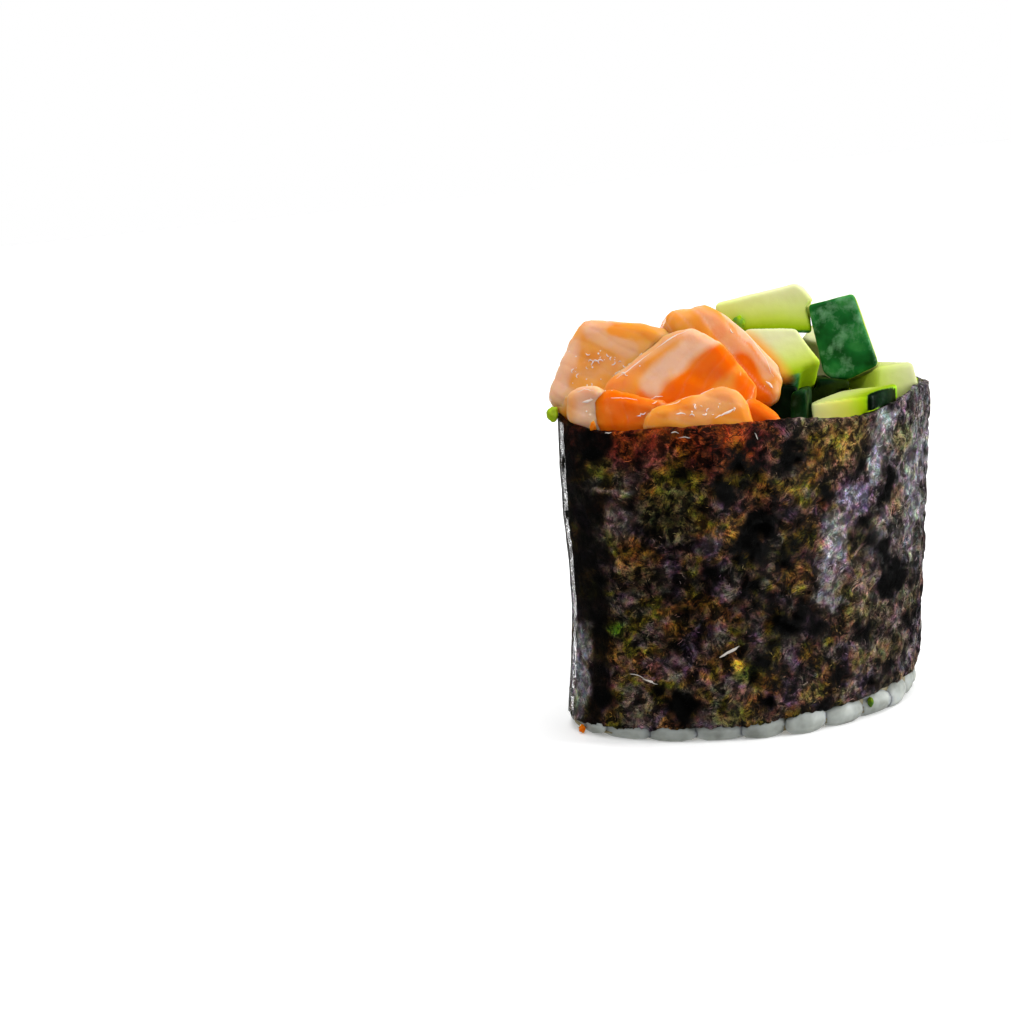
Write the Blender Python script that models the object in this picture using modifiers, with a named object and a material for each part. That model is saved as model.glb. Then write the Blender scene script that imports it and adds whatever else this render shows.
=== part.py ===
"""Gunkan sushi: a roll of rice stood in a wound strip of nori and heaped with cut salmon and cucumber.

The origin is the middle of the flat rice foot, +Z is up, and the roll is longest along X. Lengths are metres;
the tables of cut pieces are written in millimetres and turned into metres by MM.
"""

import math
from typing import NamedTuple

import bmesh
import bpy
from mathutils import Vector, noise

MM = 0.001
GAP = 0.3 * MM

# The roll: an oval plan, a little pear-shaped, that opens slightly towards the rim.
ROLL_HALF_LENGTH = 25.4 * MM
ROLL_HALF_WIDTH = 14.4 * MM
OVAL_POWER = 1.92
PEAR = 0.035
PEAR_TURN = math.radians(26.8)
RIM_FLARE = 1.044
WAIST_HEIGHT = 0.35
WAIST_SPREAD = 0.32
WAIST_NIP = 0.022
WAIST_SHIFT = 0.9 * MM

# The nori strip, cut from a sheet and wound once round with an overlap at the back.
NORI_THICKNESS = 0.4 * MM
RIM_HEIGHT = 40.2 * MM
RIM_RISE = 0.3 * MM
RIM_DIP = 0.5 * MM
RIM_WAVE = 0.2 * MM
# Where the strip's edge stands proud or sags: degrees round the roll, spread in degrees, rise in mm.
RIM_KINKS = ((-80, 19, -1.2), (-40, 16, 0.65), (12, 20, -1.0))
FOOT_HEIGHT = 2.35 * MM
FOOT_RISE = 0.95 * MM
SEAM_TURN = math.radians(60)
SEAM_OVERLAP = math.radians(35)
SEAM_STEP = math.radians(24)

# The rice, which stands proud under the strip and ends in a low dome under the toppings.
RICE_FOOT_INSET = 1.6 * MM
RICE_BULGE_INSET = 0.25 * MM
RICE_TOP = 34.6 * MM
RICE_DOME = 1.2 * MM
GRAIN_RELIEF = 0.25 * MM
GRAIN_PITCH = 3.2 * MM

# The heap of toppings, laid on the skew across the roll, measured from the middle of the rim.
HEAP_TURN = math.radians(-32.5)
SALMON_BEVEL = 1.1 * MM
CUCUMBER_BEVEL = 0.45 * MM

SIDES = 72
STRIP_ROWS = 6


class Cut(NamedTuple):
    """One cut piece: its front face's outline, its thickness behind that, and the face's place and turn."""

    outline: tuple
    thick: float
    place: tuple
    turn: tuple
    back: float = 0.92


SALMON = {
    "salmon_long_slab": Cut(
        outline=((-9.8, 4.3), (-8.4, 6.0), (-6.5, 5.9), (-4.4, 6.8), (0.2, 2.8), (4.1, -1.6), (4.5, -3.4),
                 (4.0, -5.8), (0.8, -6.2), (-4.0, -5.0), (-6.8, -2.0)),
        thick=5.6, place=(-1.0, -5.0, 6.0), turn=(-20, 0, 15)),
    "salmon_centre": Cut(
        outline=((-9.6, -2.2), (-9.2, 0.0), (-5.1, 3.5), (-2.2, 6.0), (1.4, 7.2), (4.7, 5.0), (7.1, 1.9),
                 (9.2, -0.6), (8.0, -4.0), (-6.0, -6.0)),
        thick=7.5, place=(-9.0, -11.0, 4.0), turn=(-35, 0, 0)),
    "salmon_front_right": Cut(
        outline=((-8.6, -1.6), (-7.4, 1.1), (-5.4, 1.6), (-0.9, 2.8), (1.4, 3.7), (2.9, 3.1), (4.3, 1.5),
                 (5.0, -1.0), (4.4, -4.0), (-7.0, -4.0)),
        thick=4.2, place=(-5.5, -16.5, 1.0), turn=(-30, 0, 5)),
    "salmon_back_left": Cut(
        outline=((-8.2, -4.4), (-7.6, -1.7), (-6.4, 3.2), (-5.0, 6.2), (0.6, 6.3), (5.0, 5.7), (8.8, 3.8),
                 (9.6, -3.5), (5.0, -7.0), (-3.0, -7.0)),
        thick=9.5, place=(-17.0, -8.0, 5.0), turn=(-35, 0, -15)),
    "salmon_front_left": Cut(
        outline=((-4.4, 2.1), (-2.4, 2.6), (2.4, 1.7), (4.8, 1.4), (4.8, -4.0), (-3.8, -4.0)),
        thick=5.0, place=(-15.5, -15.0, 1.0), turn=(-25, 0, -10)),
    "salmon_pale_flake": Cut(
        outline=((-2.9, 1.5), (-2.0, 2.3), (0.4, 2.6), (1.6, 2.0), (1.8, -3.0), (-2.0, -3.0)),
        thick=3.0, place=(-20.5, -13.5, 1.0), turn=(-20, 0, -25)),
    "salmon_wedge": Cut(
        outline=((-3.6, 2.0), (-2.0, 1.8), (0.8, -0.4), (1.4, -4.0), (-3.6, -4.0)),
        thick=4.0, place=(2.0, -13.5, 0.0), turn=(-10, 0, 0)),
    "salmon_left_tip": Cut(
        outline=((-3.4, 1.0), (0.9, 1.9), (3.2, 1.4), (3.2, -4.0), (-2.4, -4.0)),
        thick=5.0, place=(-22.9, -10.2, 0.2), turn=(0, 0, -50)),
    "salmon_back_low": Cut(
        outline=((-6.0, -5.0), (-6.4, 2.0), (-3.0, 4.4), (4.0, 3.8), (6.2, 1.0), (5.6, -5.0)),
        thick=9.0, place=(-11.6, 0.0, 1.2), turn=(6, 0, 16), back=0.96),
    "salmon_back_right": Cut(
        outline=((-5.2, -6.0), (-5.0, 3.0), (-1.0, 5.0), (4.2, 3.4), (5.0, -6.0)),
        thick=12.5, place=(-4.2, 1.4, 1.6), turn=(4, 0, 14), back=0.96),
}

CUCUMBER = {
    "cucumber_middle": Cut(
        outline=((-5.6, 3.6), (-4.6, 4.6), (1.5, 4.7), (2.9, 2.4), (4.6, -0.2), (2.2, -1.3), (1.3, -2.4),
                 (-5.0, -2.4)),
        thick=8.0, place=(4.0, -3.0, 5.0), turn=(-40, 0, 0)),
    "cucumber_front": Cut(
        outline=((-4.8, 0.6), (3.7, 2.6), (3.9, -1.6), (-4.2, -3.2)),
        thick=8.6, place=(11.1, -6.8, -0.7), turn=(0, 0, -29)),
    "cucumber_top_baton": Cut(
        outline=((-6.4, 0.3), (3.8, 2.9), (4.9, 2.3), (6.1, 0.8), (6.0, -3.4), (-6.0, -3.2)),
        thick=6.4, place=(2.0, 6.0, 10.0), turn=(-10, 0, 0)),
    "cucumber_peel_block": Cut(
        outline=((-4.5, 4.4), (1.3, 6.0), (4.7, -2.9), (1.1, -4.9), (-1.2, -4.8), (-2.3, -4.1)),
        thick=6.4, place=(11.5, 4.0, 6.0), turn=(-10, 0, -8)),
    "cucumber_right": Cut(
        outline=((-2.9, -3.6), (-2.8, 2.6), (3.0, 2.6), (3.9, -0.8), (3.6, -3.6)),
        thick=8.0, place=(18.3, 3.4, 0.5), turn=(-8, 0, 32)),
    "cucumber_dark_skin": Cut(
        outline=((-2.2, 2.4), (1.2, 2.0), (2.1, -5.0), (-2.4, -5.0)),
        thick=5.0, place=(4.4, -4.6, 0.0), turn=(-6, 0, 4)),
    "cucumber_peel_strip": Cut(
        outline=((-0.9, 2.0), (1.1, 2.6), (1.3, -4.0), (-0.9, -4.0)),
        thick=4.5, place=(5.4, -6.0, -0.6), turn=(0, 0, -14)),
    "cucumber_back_left": Cut(
        outline=((-4.4, -7.0), (-4.4, 3.0), (3.8, 4.0), (4.0, -7.0)),
        thick=9.6, place=(3.0, 7.0, 2.6), turn=(0, 0, 10), back=0.96),
    "cucumber_back_middle": Cut(
        outline=((-4.2, -7.0), (-4.2, 3.4), (3.2, 1.8), (3.6, -7.0)),
        thick=9.0, place=(10.8, 9.8, 1.6), turn=(6, 0, -14), back=0.96),
    "cucumber_back_right": Cut(
        outline=((-4.0, -6.0), (-3.8, 2.4), (3.0, 1.8), (3.6, -6.0)),
        thick=6.0, place=(17.2, 9.2, -2.2), turn=(0, 0, -24), back=0.96),
    "cucumber_under_middle": Cut(
        outline=((-4.4, -6.0), (-4.2, 2.6), (2.4, 2.2), (2.6, -6.0)),
        thick=4.5, place=(10.2, 1.6, -0.8), turn=(0, 0, 8)),
}

# Where two pieces press together, the one named first keeps its shape.
PRESS_ORDER = (
    "salmon_long_slab", "salmon_centre", "salmon_front_right", "cucumber_middle", "cucumber_front",
    "salmon_back_left", "salmon_front_left", "salmon_pale_flake", "salmon_wedge", "cucumber_peel_block",
    "cucumber_top_baton", "cucumber_right", "salmon_left_tip", "cucumber_dark_skin", "cucumber_peel_strip",
    "cucumber_back_left", "cucumber_back_middle", "cucumber_back_right", "salmon_back_low",
    "salmon_back_right", "cucumber_under_middle",
)


def clear_scene():
    for obj in list(bpy.data.objects):
        bpy.data.objects.remove(obj, do_unlink=True)


def make_collection(name):
    collection = bpy.data.collections.new(name)
    bpy.context.scene.collection.children.link(collection)
    return collection


def make_material(name, colour, roughness):
    material = bpy.data.materials.new(name)
    material.use_nodes = True
    shader = material.node_tree.nodes["Principled BSDF"]
    shader.inputs["Base Color"].default_value = (*colour, 1)
    shader.inputs["Roughness"].default_value = roughness
    shader.inputs["Metallic"].default_value = 0
    return material


def object_from(name, bm, collection, material=None):
    """A new object that holds this bmesh, with its faces turned outwards."""
    bmesh.ops.recalc_face_normals(bm, faces=bm.faces)
    mesh = bpy.data.meshes.new(name)
    bm.to_mesh(mesh)
    bm.free()
    mesh.shade_smooth()
    mesh.set_sharp_from_angle(angle=math.radians(35))
    obj = bpy.data.objects.new(name, mesh)
    collection.objects.link(obj)
    if material:
        mesh.materials.append(material)
    return obj


def oval_point(turn):
    """The strip's outer face at the foot, seen from above, at a turn round the oval."""
    cosine, sine = math.cos(turn), math.sin(turn)
    x = ROLL_HALF_LENGTH * math.copysign(abs(cosine) ** (2 / OVAL_POWER), cosine)
    y = ROLL_HALF_WIDTH * math.copysign(abs(sine) ** (2 / OVAL_POWER), sine)
    return Vector((x, y)) * (1 + PEAR * math.cos(3 * (turn - PEAR_TURN)))


def waist(height):
    """How much of the waist is felt at a height, from 0 to 1."""
    return math.exp(-(((height / RIM_HEIGHT - WAIST_HEIGHT) / WAIST_SPREAD) ** 2))


def wall_point(turn, height, inward=0.0):
    """A point of the wall at a turn and a height, moved inwards from the strip's outer face.

    The wall is nipped and shifted a little at the waist and opens towards the rim.
    """
    step = 0.01
    along = oval_point(turn + step) - oval_point(turn - step)
    outward = Vector((along.y, -along.x)).normalized()
    opening = 1 + (RIM_FLARE - 1) * height / RIM_HEIGHT - WAIST_NIP * waist(height)
    place = oval_point(turn) * opening - outward * inward
    return Vector((place.x + WAIST_SHIFT * waist(height), place.y, height))


def rim_height(turn):
    """The strip's upper edge: higher at +X, dipped at both ends, kinked at one side and cut unevenly."""
    wave = math.sin(3 * turn + 0.6) + 0.6 * math.sin(7 * turn)
    height = RIM_HEIGHT + RIM_RISE * math.cos(turn) - RIM_DIP * math.cos(2 * turn) + RIM_WAVE * wave
    for place, spread, rise in RIM_KINKS:
        away = math.remainder(turn - math.radians(place), 2 * math.pi) / math.radians(spread)
        height += rise * MM * math.exp(-away * away)
    return height


def foot_height(turn):
    """The strip's lower edge, which stands on the rice, clear of the board."""
    return FOOT_HEIGHT + FOOT_RISE * math.cos(turn)


def loft(rings, closed_round=True, caps=True):
    """A bmesh skin over rings of points that all have the same count."""
    bm = bmesh.new()
    rows = [[bm.verts.new(point) for point in ring] for ring in rings]
    count = len(rows[0])
    last = count if closed_round else count - 1
    for lower, upper in zip(rows, rows[1:]):
        for i in range(last):
            j = (i + 1) % count
            bm.faces.new((lower[i], lower[j], upper[j], upper[i]))
    if caps:
        bm.faces.new(rows[0])
        bm.faces.new(rows[-1])
    return bm


def make_nori(collection, material):
    """The strip as an open wound sheet that Solidify gives its thickness."""
    wound = 2 * math.pi + SEAM_OVERLAP
    columns = round(SIDES * wound / (2 * math.pi))
    rings = []
    for row in range(STRIP_ROWS + 1):
        ring = []
        for i in range(columns + 1):
            turned = wound * i / columns
            turn = SEAM_TURN + turned
            over = min(max((turned - 2 * math.pi + SEAM_STEP) / SEAM_STEP, 0), 1)
            over = over * over * (3 - 2 * over) * (NORI_THICKNESS + GAP)
            foot = foot_height(turn)
            height = foot + (rim_height(turn) - foot) * row / STRIP_ROWS
            ring.append(wall_point(turn, height, -over))
        rings.append(ring)
    obj = object_from("nori", loft(rings, closed_round=False, caps=False), collection, material)
    wall = obj.modifiers.new("wall", "SOLIDIFY")
    wall.thickness = NORI_THICKNESS
    wall.offset = -1
    wall.use_even_offset = True
    return obj


def rice_relief(point):
    """How far grains stand out of the packed rice at a point."""
    return GRAIN_RELIEF * noise.noise(point / GRAIN_PITCH)


def make_rice(collection, material):
    """The packed rice: a foot that bulges under the strip, a wall inside it and a low uneven dome."""
    inside = NORI_THICKNESS + GAP
    turns = [2 * math.pi * i / SIDES for i in range(SIDES)]
    rings = []
    for part, inset in ((0, RICE_FOOT_INSET), (0.2, RICE_BULGE_INSET * 2), (0.6, RICE_BULGE_INSET)):
        ring = []
        for turn in turns:
            point = wall_point(turn, part * (foot_height(turn) - GAP), inset)
            relief = rice_relief(point) if part else 0
            ring.append(wall_point(turn, point.z, inset - relief))
        rings.append(ring)
    rings.append([wall_point(turn, foot_height(turn) - GAP, RICE_BULGE_INSET * 2) for turn in turns])
    shift = 0.1 * MM
    shoulder = RICE_TOP - RICE_DOME
    for height in (FOOT_HEIGHT + FOOT_RISE, RIM_HEIGHT * WAIST_HEIGHT, RIM_HEIGHT * 0.6, shoulder):
        rings.append([wall_point(turn, max(height, foot_height(turn)), inside + shift) for turn in turns])
    for part in (0.85, 0.55, 0.25):
        ring = []
        for turn in turns:
            flat = wall_point(turn, RICE_TOP, inside) * part
            height = RICE_TOP - RICE_DOME * part ** 4 + 2 * rice_relief(flat)
            ring.append(Vector((flat.x, flat.y, height)))
        rings.append(ring)
    return object_from("rice", loft(rings), collection, material)


def cut_mesh(cut):
    """A knife-cut block: its outline as one face, drawn back to the thickness and slightly smaller there."""
    bm = bmesh.new()
    face = bm.faces.new([bm.verts.new((x * MM, 0, z * MM)) for x, z in cut.outline])
    middle = face.calc_center_median()
    drawn = bmesh.ops.extrude_face_region(bm, geom=[face])
    far = [item for item in drawn["geom"] if isinstance(item, bmesh.types.BMVert)]
    for vert in far:
        vert.co = middle + (vert.co - middle) * cut.back
        vert.co.y += cut.thick * MM
    return bm


def place_in_heap(obj, cut, heap):
    obj.parent = heap
    obj.location = [value * MM for value in cut.place]
    obj.rotation_euler = [math.radians(value) for value in cut.turn]


def round_edges(obj, width):
    bevel = obj.modifiers.new("rounded edges", "BEVEL")
    bevel.width = width
    bevel.segments = 2
    bevel.limit_method = "ANGLE"
    bevel.angle_limit = math.radians(30)


def make_clearance(name, cut, width, heap, cutters):
    """The room that a piece takes up in its neighbours: the piece itself, grown by the gap."""
    obj = object_from(name, cut_mesh(cut), cutters)
    place_in_heap(obj, cut, heap)
    round_edges(obj, width)
    grow = obj.modifiers.new("grow", "DISPLACE")
    grow.strength = GAP * 1.2
    grow.mid_level = 0
    return hide(obj)


def hide(obj):
    obj.hide_render = True
    obj.display_type = "WIRE"
    return obj


def subtract(obj, cutter):
    cut = obj.modifiers.new("clear of " + cutter.name, "BOOLEAN")
    cut.operation = "DIFFERENCE"
    cut.solver = "EXACT"
    cut.object = cutter


def make_strip_room(cutters):
    """The strip and all outside it up to the rim, as a ring that trims what would cross it."""
    inner, outer = [], []
    turns = [2 * math.pi * i / SIDES for i in range(SIDES)]
    inside = NORI_THICKNESS + GAP
    low = RIM_HEIGHT / 2
    far = ROLL_HALF_LENGTH
    for turn in turns:
        top = rim_height(turn) + GAP
        inner.append((wall_point(turn, low, inside), wall_point(turn, top, inside)))
        outer.append((wall_point(turn, low, -far), wall_point(turn, top, -far)))
    rings = [
        [low_point for low_point, _ in inner],
        [top_point for _, top_point in inner],
        [top_point for _, top_point in outer],
        [low_point for low_point, _ in outer],
        [low_point for low_point, _ in inner],
    ]
    bm = loft(rings, caps=False)
    bmesh.ops.remove_doubles(bm, verts=bm.verts, dist=0.01 * MM)
    return hide(object_from("strip_room", bm, cutters))


def make_rice_room(cutters):
    """The rice's top with the gap over it, as the bed that the lowest pieces are trimmed to."""
    turns = [2 * math.pi * i / SIDES for i in range(SIDES)]
    rings = [[wall_point(turn, RIM_HEIGHT / 2, -ROLL_HALF_LENGTH) for turn in turns]]
    rings.append([wall_point(turn, RICE_TOP - RICE_DOME + GAP, -ROLL_HALF_LENGTH) for turn in turns])
    for part in (1, 0.85, 0.55, 0.25):
        ring = []
        for turn in turns:
            flat = wall_point(turn, RICE_TOP, 0) * part
            height = RICE_TOP - RICE_DOME * part ** 4 + 2 * abs(rice_relief(flat)) + 2 * GAP
            ring.append(Vector((flat.x, flat.y, height)))
        rings.append(ring)
    return hide(object_from("rice_room", loft(rings), cutters))


def make_toppings(collection, cutters, materials):
    heap = bpy.data.objects.new("heap", None)
    collection.objects.link(heap)
    heap.location.z = RIM_HEIGHT
    heap.rotation_euler.z = HEAP_TURN
    room = [make_strip_room(cutters), make_rice_room(cutters)]
    for name in PRESS_ORDER:
        salmon = name in SALMON
        cut = SALMON[name] if salmon else CUCUMBER[name]
        width = SALMON_BEVEL if salmon else CUCUMBER_BEVEL
        obj = object_from(name, cut_mesh(cut), collection, materials["salmon" if salmon else "cucumber"])
        place_in_heap(obj, cut, heap)
        round_edges(obj, width)
        for cutter in room:
            subtract(obj, cutter)
        room.append(make_clearance(name + "_room", cut, width, heap, cutters))


def main():
    clear_scene()
    parts = make_collection("gunkan_sushi")
    cutters = make_collection("cutters")
    materials = {
        "nori": make_material("nori", (0.012, 0.013, 0.008), 0.5),
        "rice": make_material("rice", (0.55, 0.57, 0.54), 0.4),
        "salmon": make_material("salmon", (0.83, 0.2, 0.03), 0.25),
        "cucumber": make_material("cucumber", (0.5, 0.62, 0.16), 0.3),
    }
    make_rice(parts, materials["rice"])
    make_nori(parts, materials["nori"])
    make_toppings(parts, cutters, materials)


main()
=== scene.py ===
"""The looks of a gunkan sushi: wound nori, packed rice, raw salmon and cucumber, with the studio around them.

Laid out as a Blender add-on and run as a script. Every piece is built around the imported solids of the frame,
in metres: +Z is up, the roll's length lies along X and the heap of toppings is laid on the skew across it.
"""

import math
from typing import NamedTuple

import bmesh
import bpy
import numpy as np
from mathutils import Matrix, Vector, noise
from mathutils.bvhtree import BVHTree


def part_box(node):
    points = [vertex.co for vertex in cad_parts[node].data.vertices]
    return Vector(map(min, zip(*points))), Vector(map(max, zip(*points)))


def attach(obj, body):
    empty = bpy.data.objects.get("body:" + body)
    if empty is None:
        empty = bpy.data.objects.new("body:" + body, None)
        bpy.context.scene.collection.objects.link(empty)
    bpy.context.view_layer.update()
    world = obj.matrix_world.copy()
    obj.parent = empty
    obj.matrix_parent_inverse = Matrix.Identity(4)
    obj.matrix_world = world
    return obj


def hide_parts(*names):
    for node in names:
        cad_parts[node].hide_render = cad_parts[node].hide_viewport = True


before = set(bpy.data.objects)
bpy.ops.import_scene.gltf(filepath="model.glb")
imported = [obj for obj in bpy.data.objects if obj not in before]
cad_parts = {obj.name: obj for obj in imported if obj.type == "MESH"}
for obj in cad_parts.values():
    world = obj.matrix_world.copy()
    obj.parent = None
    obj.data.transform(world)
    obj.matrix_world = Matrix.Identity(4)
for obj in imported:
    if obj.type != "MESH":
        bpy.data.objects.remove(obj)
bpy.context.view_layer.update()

bl_info = {
    "name": "Gunkan sushi looks",
    "version": (1, 0, 0),
    "blender": (4, 5, 0),
    "location": "3D View > Sidebar > Sushi",
    "description": "Dresses a gunkan sushi with nori, rice, salmon and cucumber, and sets its studio",
    "category": "Object",
}

MM = 0.001
HEAP_TURN = math.radians(-32.5)
RIM = 40.2 * MM
VIEW_TILT = math.radians(13.48)
VIEW_DISTANCE = 0.6


# Small helpers -------------------------------------------------------------------------------------------------


def linear(code):
    """A colour written as sRGB hex, such as #E88A40, as the linear RGBA that shaders take."""
    parts = [int(code[i : i + 2], 16) / 255 for i in (1, 3, 5)]
    return (*[c / 12.92 if c <= 0.04045 else ((c + 0.055) / 1.055) ** 2.4 for c in parts], 1.0)


def add(tree, kind, inputs=None, stops=None, **settings):
    """Adds a node with its settings, its input values or links, and a ramp's stops if it has one."""
    made = tree.nodes.new(kind)
    for name, value in settings.items():
        setattr(made, name, value)
    for key, value in (inputs or {}).items():
        if isinstance(value, bpy.types.NodeSocket):
            tree.links.new(value, made.inputs[key])
        else:
            made.inputs[key].default_value = value
    for i, (place, colour) in enumerate(stops or ()):
        ramp = made.color_ramp.elements
        stop = ramp[i] if i < len(ramp) else ramp.new(place)
        stop.position = place
        stop.color = colour
    return made


def new_material(name):
    material = bpy.data.materials.new(name)
    material.use_nodes = True
    tree = material.node_tree
    shader = tree.nodes["Principled BSDF"]
    return material, tree, shader


def link(obj):
    bpy.context.scene.collection.objects.link(obj)
    return obj


def heap_point(right, deep, up):
    """A place in the heap, in millimetres from the middle of the rim: right, away from the viewer, and up."""
    turn = Matrix.Rotation(HEAP_TURN, 3, "Z")
    return turn @ (Vector((right, deep, up)) * MM) + Vector((0, 0, RIM))


def heap_direction(right, deep, up):
    return (Matrix.Rotation(HEAP_TURN, 3, "Z") @ Vector((right, deep, up))).normalized()


def merged_copy(node_name, name):
    """A new object with the solid's mesh, its loose triangles joined."""
    bm = bmesh.new()
    bm.from_mesh(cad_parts[node_name].data)
    bmesh.ops.remove_doubles(bm, verts=bm.verts, dist=0.001 * MM)
    mesh = bpy.data.meshes.new(name)
    bm.to_mesh(mesh)
    bm.free()
    return link(bpy.data.objects.new(name, mesh))


def apply_modifiers(obj):
    """Turns what the modifiers make into the object's plain mesh."""
    graph = bpy.context.evaluated_depsgraph_get()
    mesh = bpy.data.meshes.new_from_object(obj.evaluated_get(graph))
    obj.modifiers.clear()
    obj.data = mesh
    return obj


def coordinates(mesh):
    co = np.empty(len(mesh.vertices) * 3, np.float32)
    mesh.vertices.foreach_get("co", co)
    return co.reshape(-1, 3).astype(np.float64)


def vertex_normals(mesh):
    normals = np.empty(len(mesh.vertices) * 3, np.float32)
    mesh.vertex_normals.foreach_get("vector", normals)
    return normals.reshape(-1, 3).astype(np.float64)


def move_vertices(mesh, co):
    mesh.vertices.foreach_set("co", co.astype(np.float32).ravel())
    mesh.update()


def paint(mesh, name, values):
    """Stores one number a vertex, which a material reads by name."""
    layer = mesh.attributes.new(name, "FLOAT", "POINT")
    layer.data.foreach_set("value", np.asarray(values, np.float32))


def rough(co, size, seed=0.0):
    """Smooth noise from -1 to 1 at each point, with lumps of about this size in metres."""
    shift = Vector((seed * 17.3, seed * 5.1, seed * 9.7))
    return np.array([noise.noise(Vector(p) / size + shift) for p in co])


def smooth_step(values, low, high):
    part = np.clip((values - low) / (high - low), 0, 1)
    return part * part * (3 - 2 * part)


def laplacian_curvature(mesh, co, normals):
    """How far each vertex stands out from its neighbours, in metres: positive on edges, negative in hollows."""
    edges = np.empty(len(mesh.edges) * 2, np.int32)
    mesh.edges.foreach_get("vertices", edges)
    edges = edges.reshape(-1, 2)
    total = np.zeros_like(co)
    count = np.zeros(len(co))
    for a, b in ((0, 1), (1, 0)):
        np.add.at(total, edges[:, a], co[edges[:, b]])
        np.add.at(count, edges[:, a], 1)
    mean = total / np.maximum(count, 1)[:, None]
    return ((co - mean) * normals).sum(1)


def spread(mesh, values, times):
    """Averages a number over neighbouring vertices a few times."""
    edges = np.empty(len(mesh.edges) * 2, np.int32)
    mesh.edges.foreach_get("vertices", edges)
    edges = edges.reshape(-1, 2)
    for _ in range(times):
        total = values.copy()
        count = np.ones(len(values))
        for a, b in ((0, 1), (1, 0)):
            np.add.at(total, edges[:, a], values[edges[:, b]])
            np.add.at(count, edges[:, a], 1)
        values = total / count
    return values


def finish_piece(obj, material, nodes=()):
    """Gives a finished piece its material and its body, and hides the solids it stands for."""
    obj.data.materials.clear()
    obj.data.materials.append(material)
    obj.data.shade_smooth()
    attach(obj, "root")
    if nodes:
        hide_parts(*nodes)
    return obj


# Settings ------------------------------------------------------------------------------------------------------


def size_setting(name, description, default_mm):
    return bpy.props.FloatProperty(
        name=name, description=description, default=default_mm * MM, subtype="DISTANCE", unit="LENGTH", precision=5
    )


def colour_setting(name, description, code):
    return bpy.props.FloatVectorProperty(
        name=name, description=description, default=linear(code), size=4, subtype="COLOR", min=0, max=1
    )


class SushiSizes(bpy.types.PropertyGroup):
    """Sizes that change the look of the sushi."""

    flesh_voxel: size_setting("Flesh grid", "Grid that the salmon is remade on", 0.26)
    flesh_swell: size_setting("Flesh swell", "Height of the soft unevenness of the salmon", 0.28)
    flake_spacing: size_setting("Flake spacing", "Distance between the salmon's muscle flakes", 1.9)
    flake_depth: size_setting("Flake depth", "Depth of the grooves between flakes", 0.07)
    nori_wrinkle: size_setting("Nori wrinkle", "Height of the nori's wrinkles", 0.25)
    nori_fibre: bpy.props.FloatProperty(
        name="Nori tuft lean", description="How steeply the nori's tufts lean out", default=0.5, min=0, max=2
    )
    grain_length: size_setting("Grain length", "Length of a cooked rice grain", 8.0)
    grain_width: size_setting("Grain width", "Width of a cooked rice grain", 3.3)
    skin_depth: size_setting("Skin thickness", "Thickness of the cucumber's dark skin", 0.45)


class SushiColours(bpy.types.PropertyGroup):
    """Colours of the sushi's foods."""

    flesh_deep: colour_setting("Salmon deep", "Salmon muscle where it is thick", "#DA6200")
    flesh_mid: colour_setting("Salmon", "Salmon muscle", "#DA9236")
    # The fat colour also paints the pale glow along thin edges, a painted light.
    flesh_pale: colour_setting("Salmon fat", "Fat bands and thin wet edges", "#D8AC8E")
    nori_dark: colour_setting("Nori dark", "Nori in its voids", "#040403")
    # The rice colour is a darker grey than the grains are, as painted shade under the overhang of the roll.
    rice_in_painted_shade: colour_setting("Rice", "Cooked rice grains", "#A6ABA6")
    rice_gap: colour_setting("Rice gaps", "Starch between the grains", "#8C8263")
    skin_dark: colour_setting("Cucumber skin", "The dark peel", "#18682A")
    flesh_green: colour_setting("Cucumber under the skin", "The bright band under the peel", "#9AB810")
    flesh_light: colour_setting("Cucumber flesh", "The pale flesh", "#CDD97C")


# Materials -----------------------------------------------------------------------------------------------------


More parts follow.
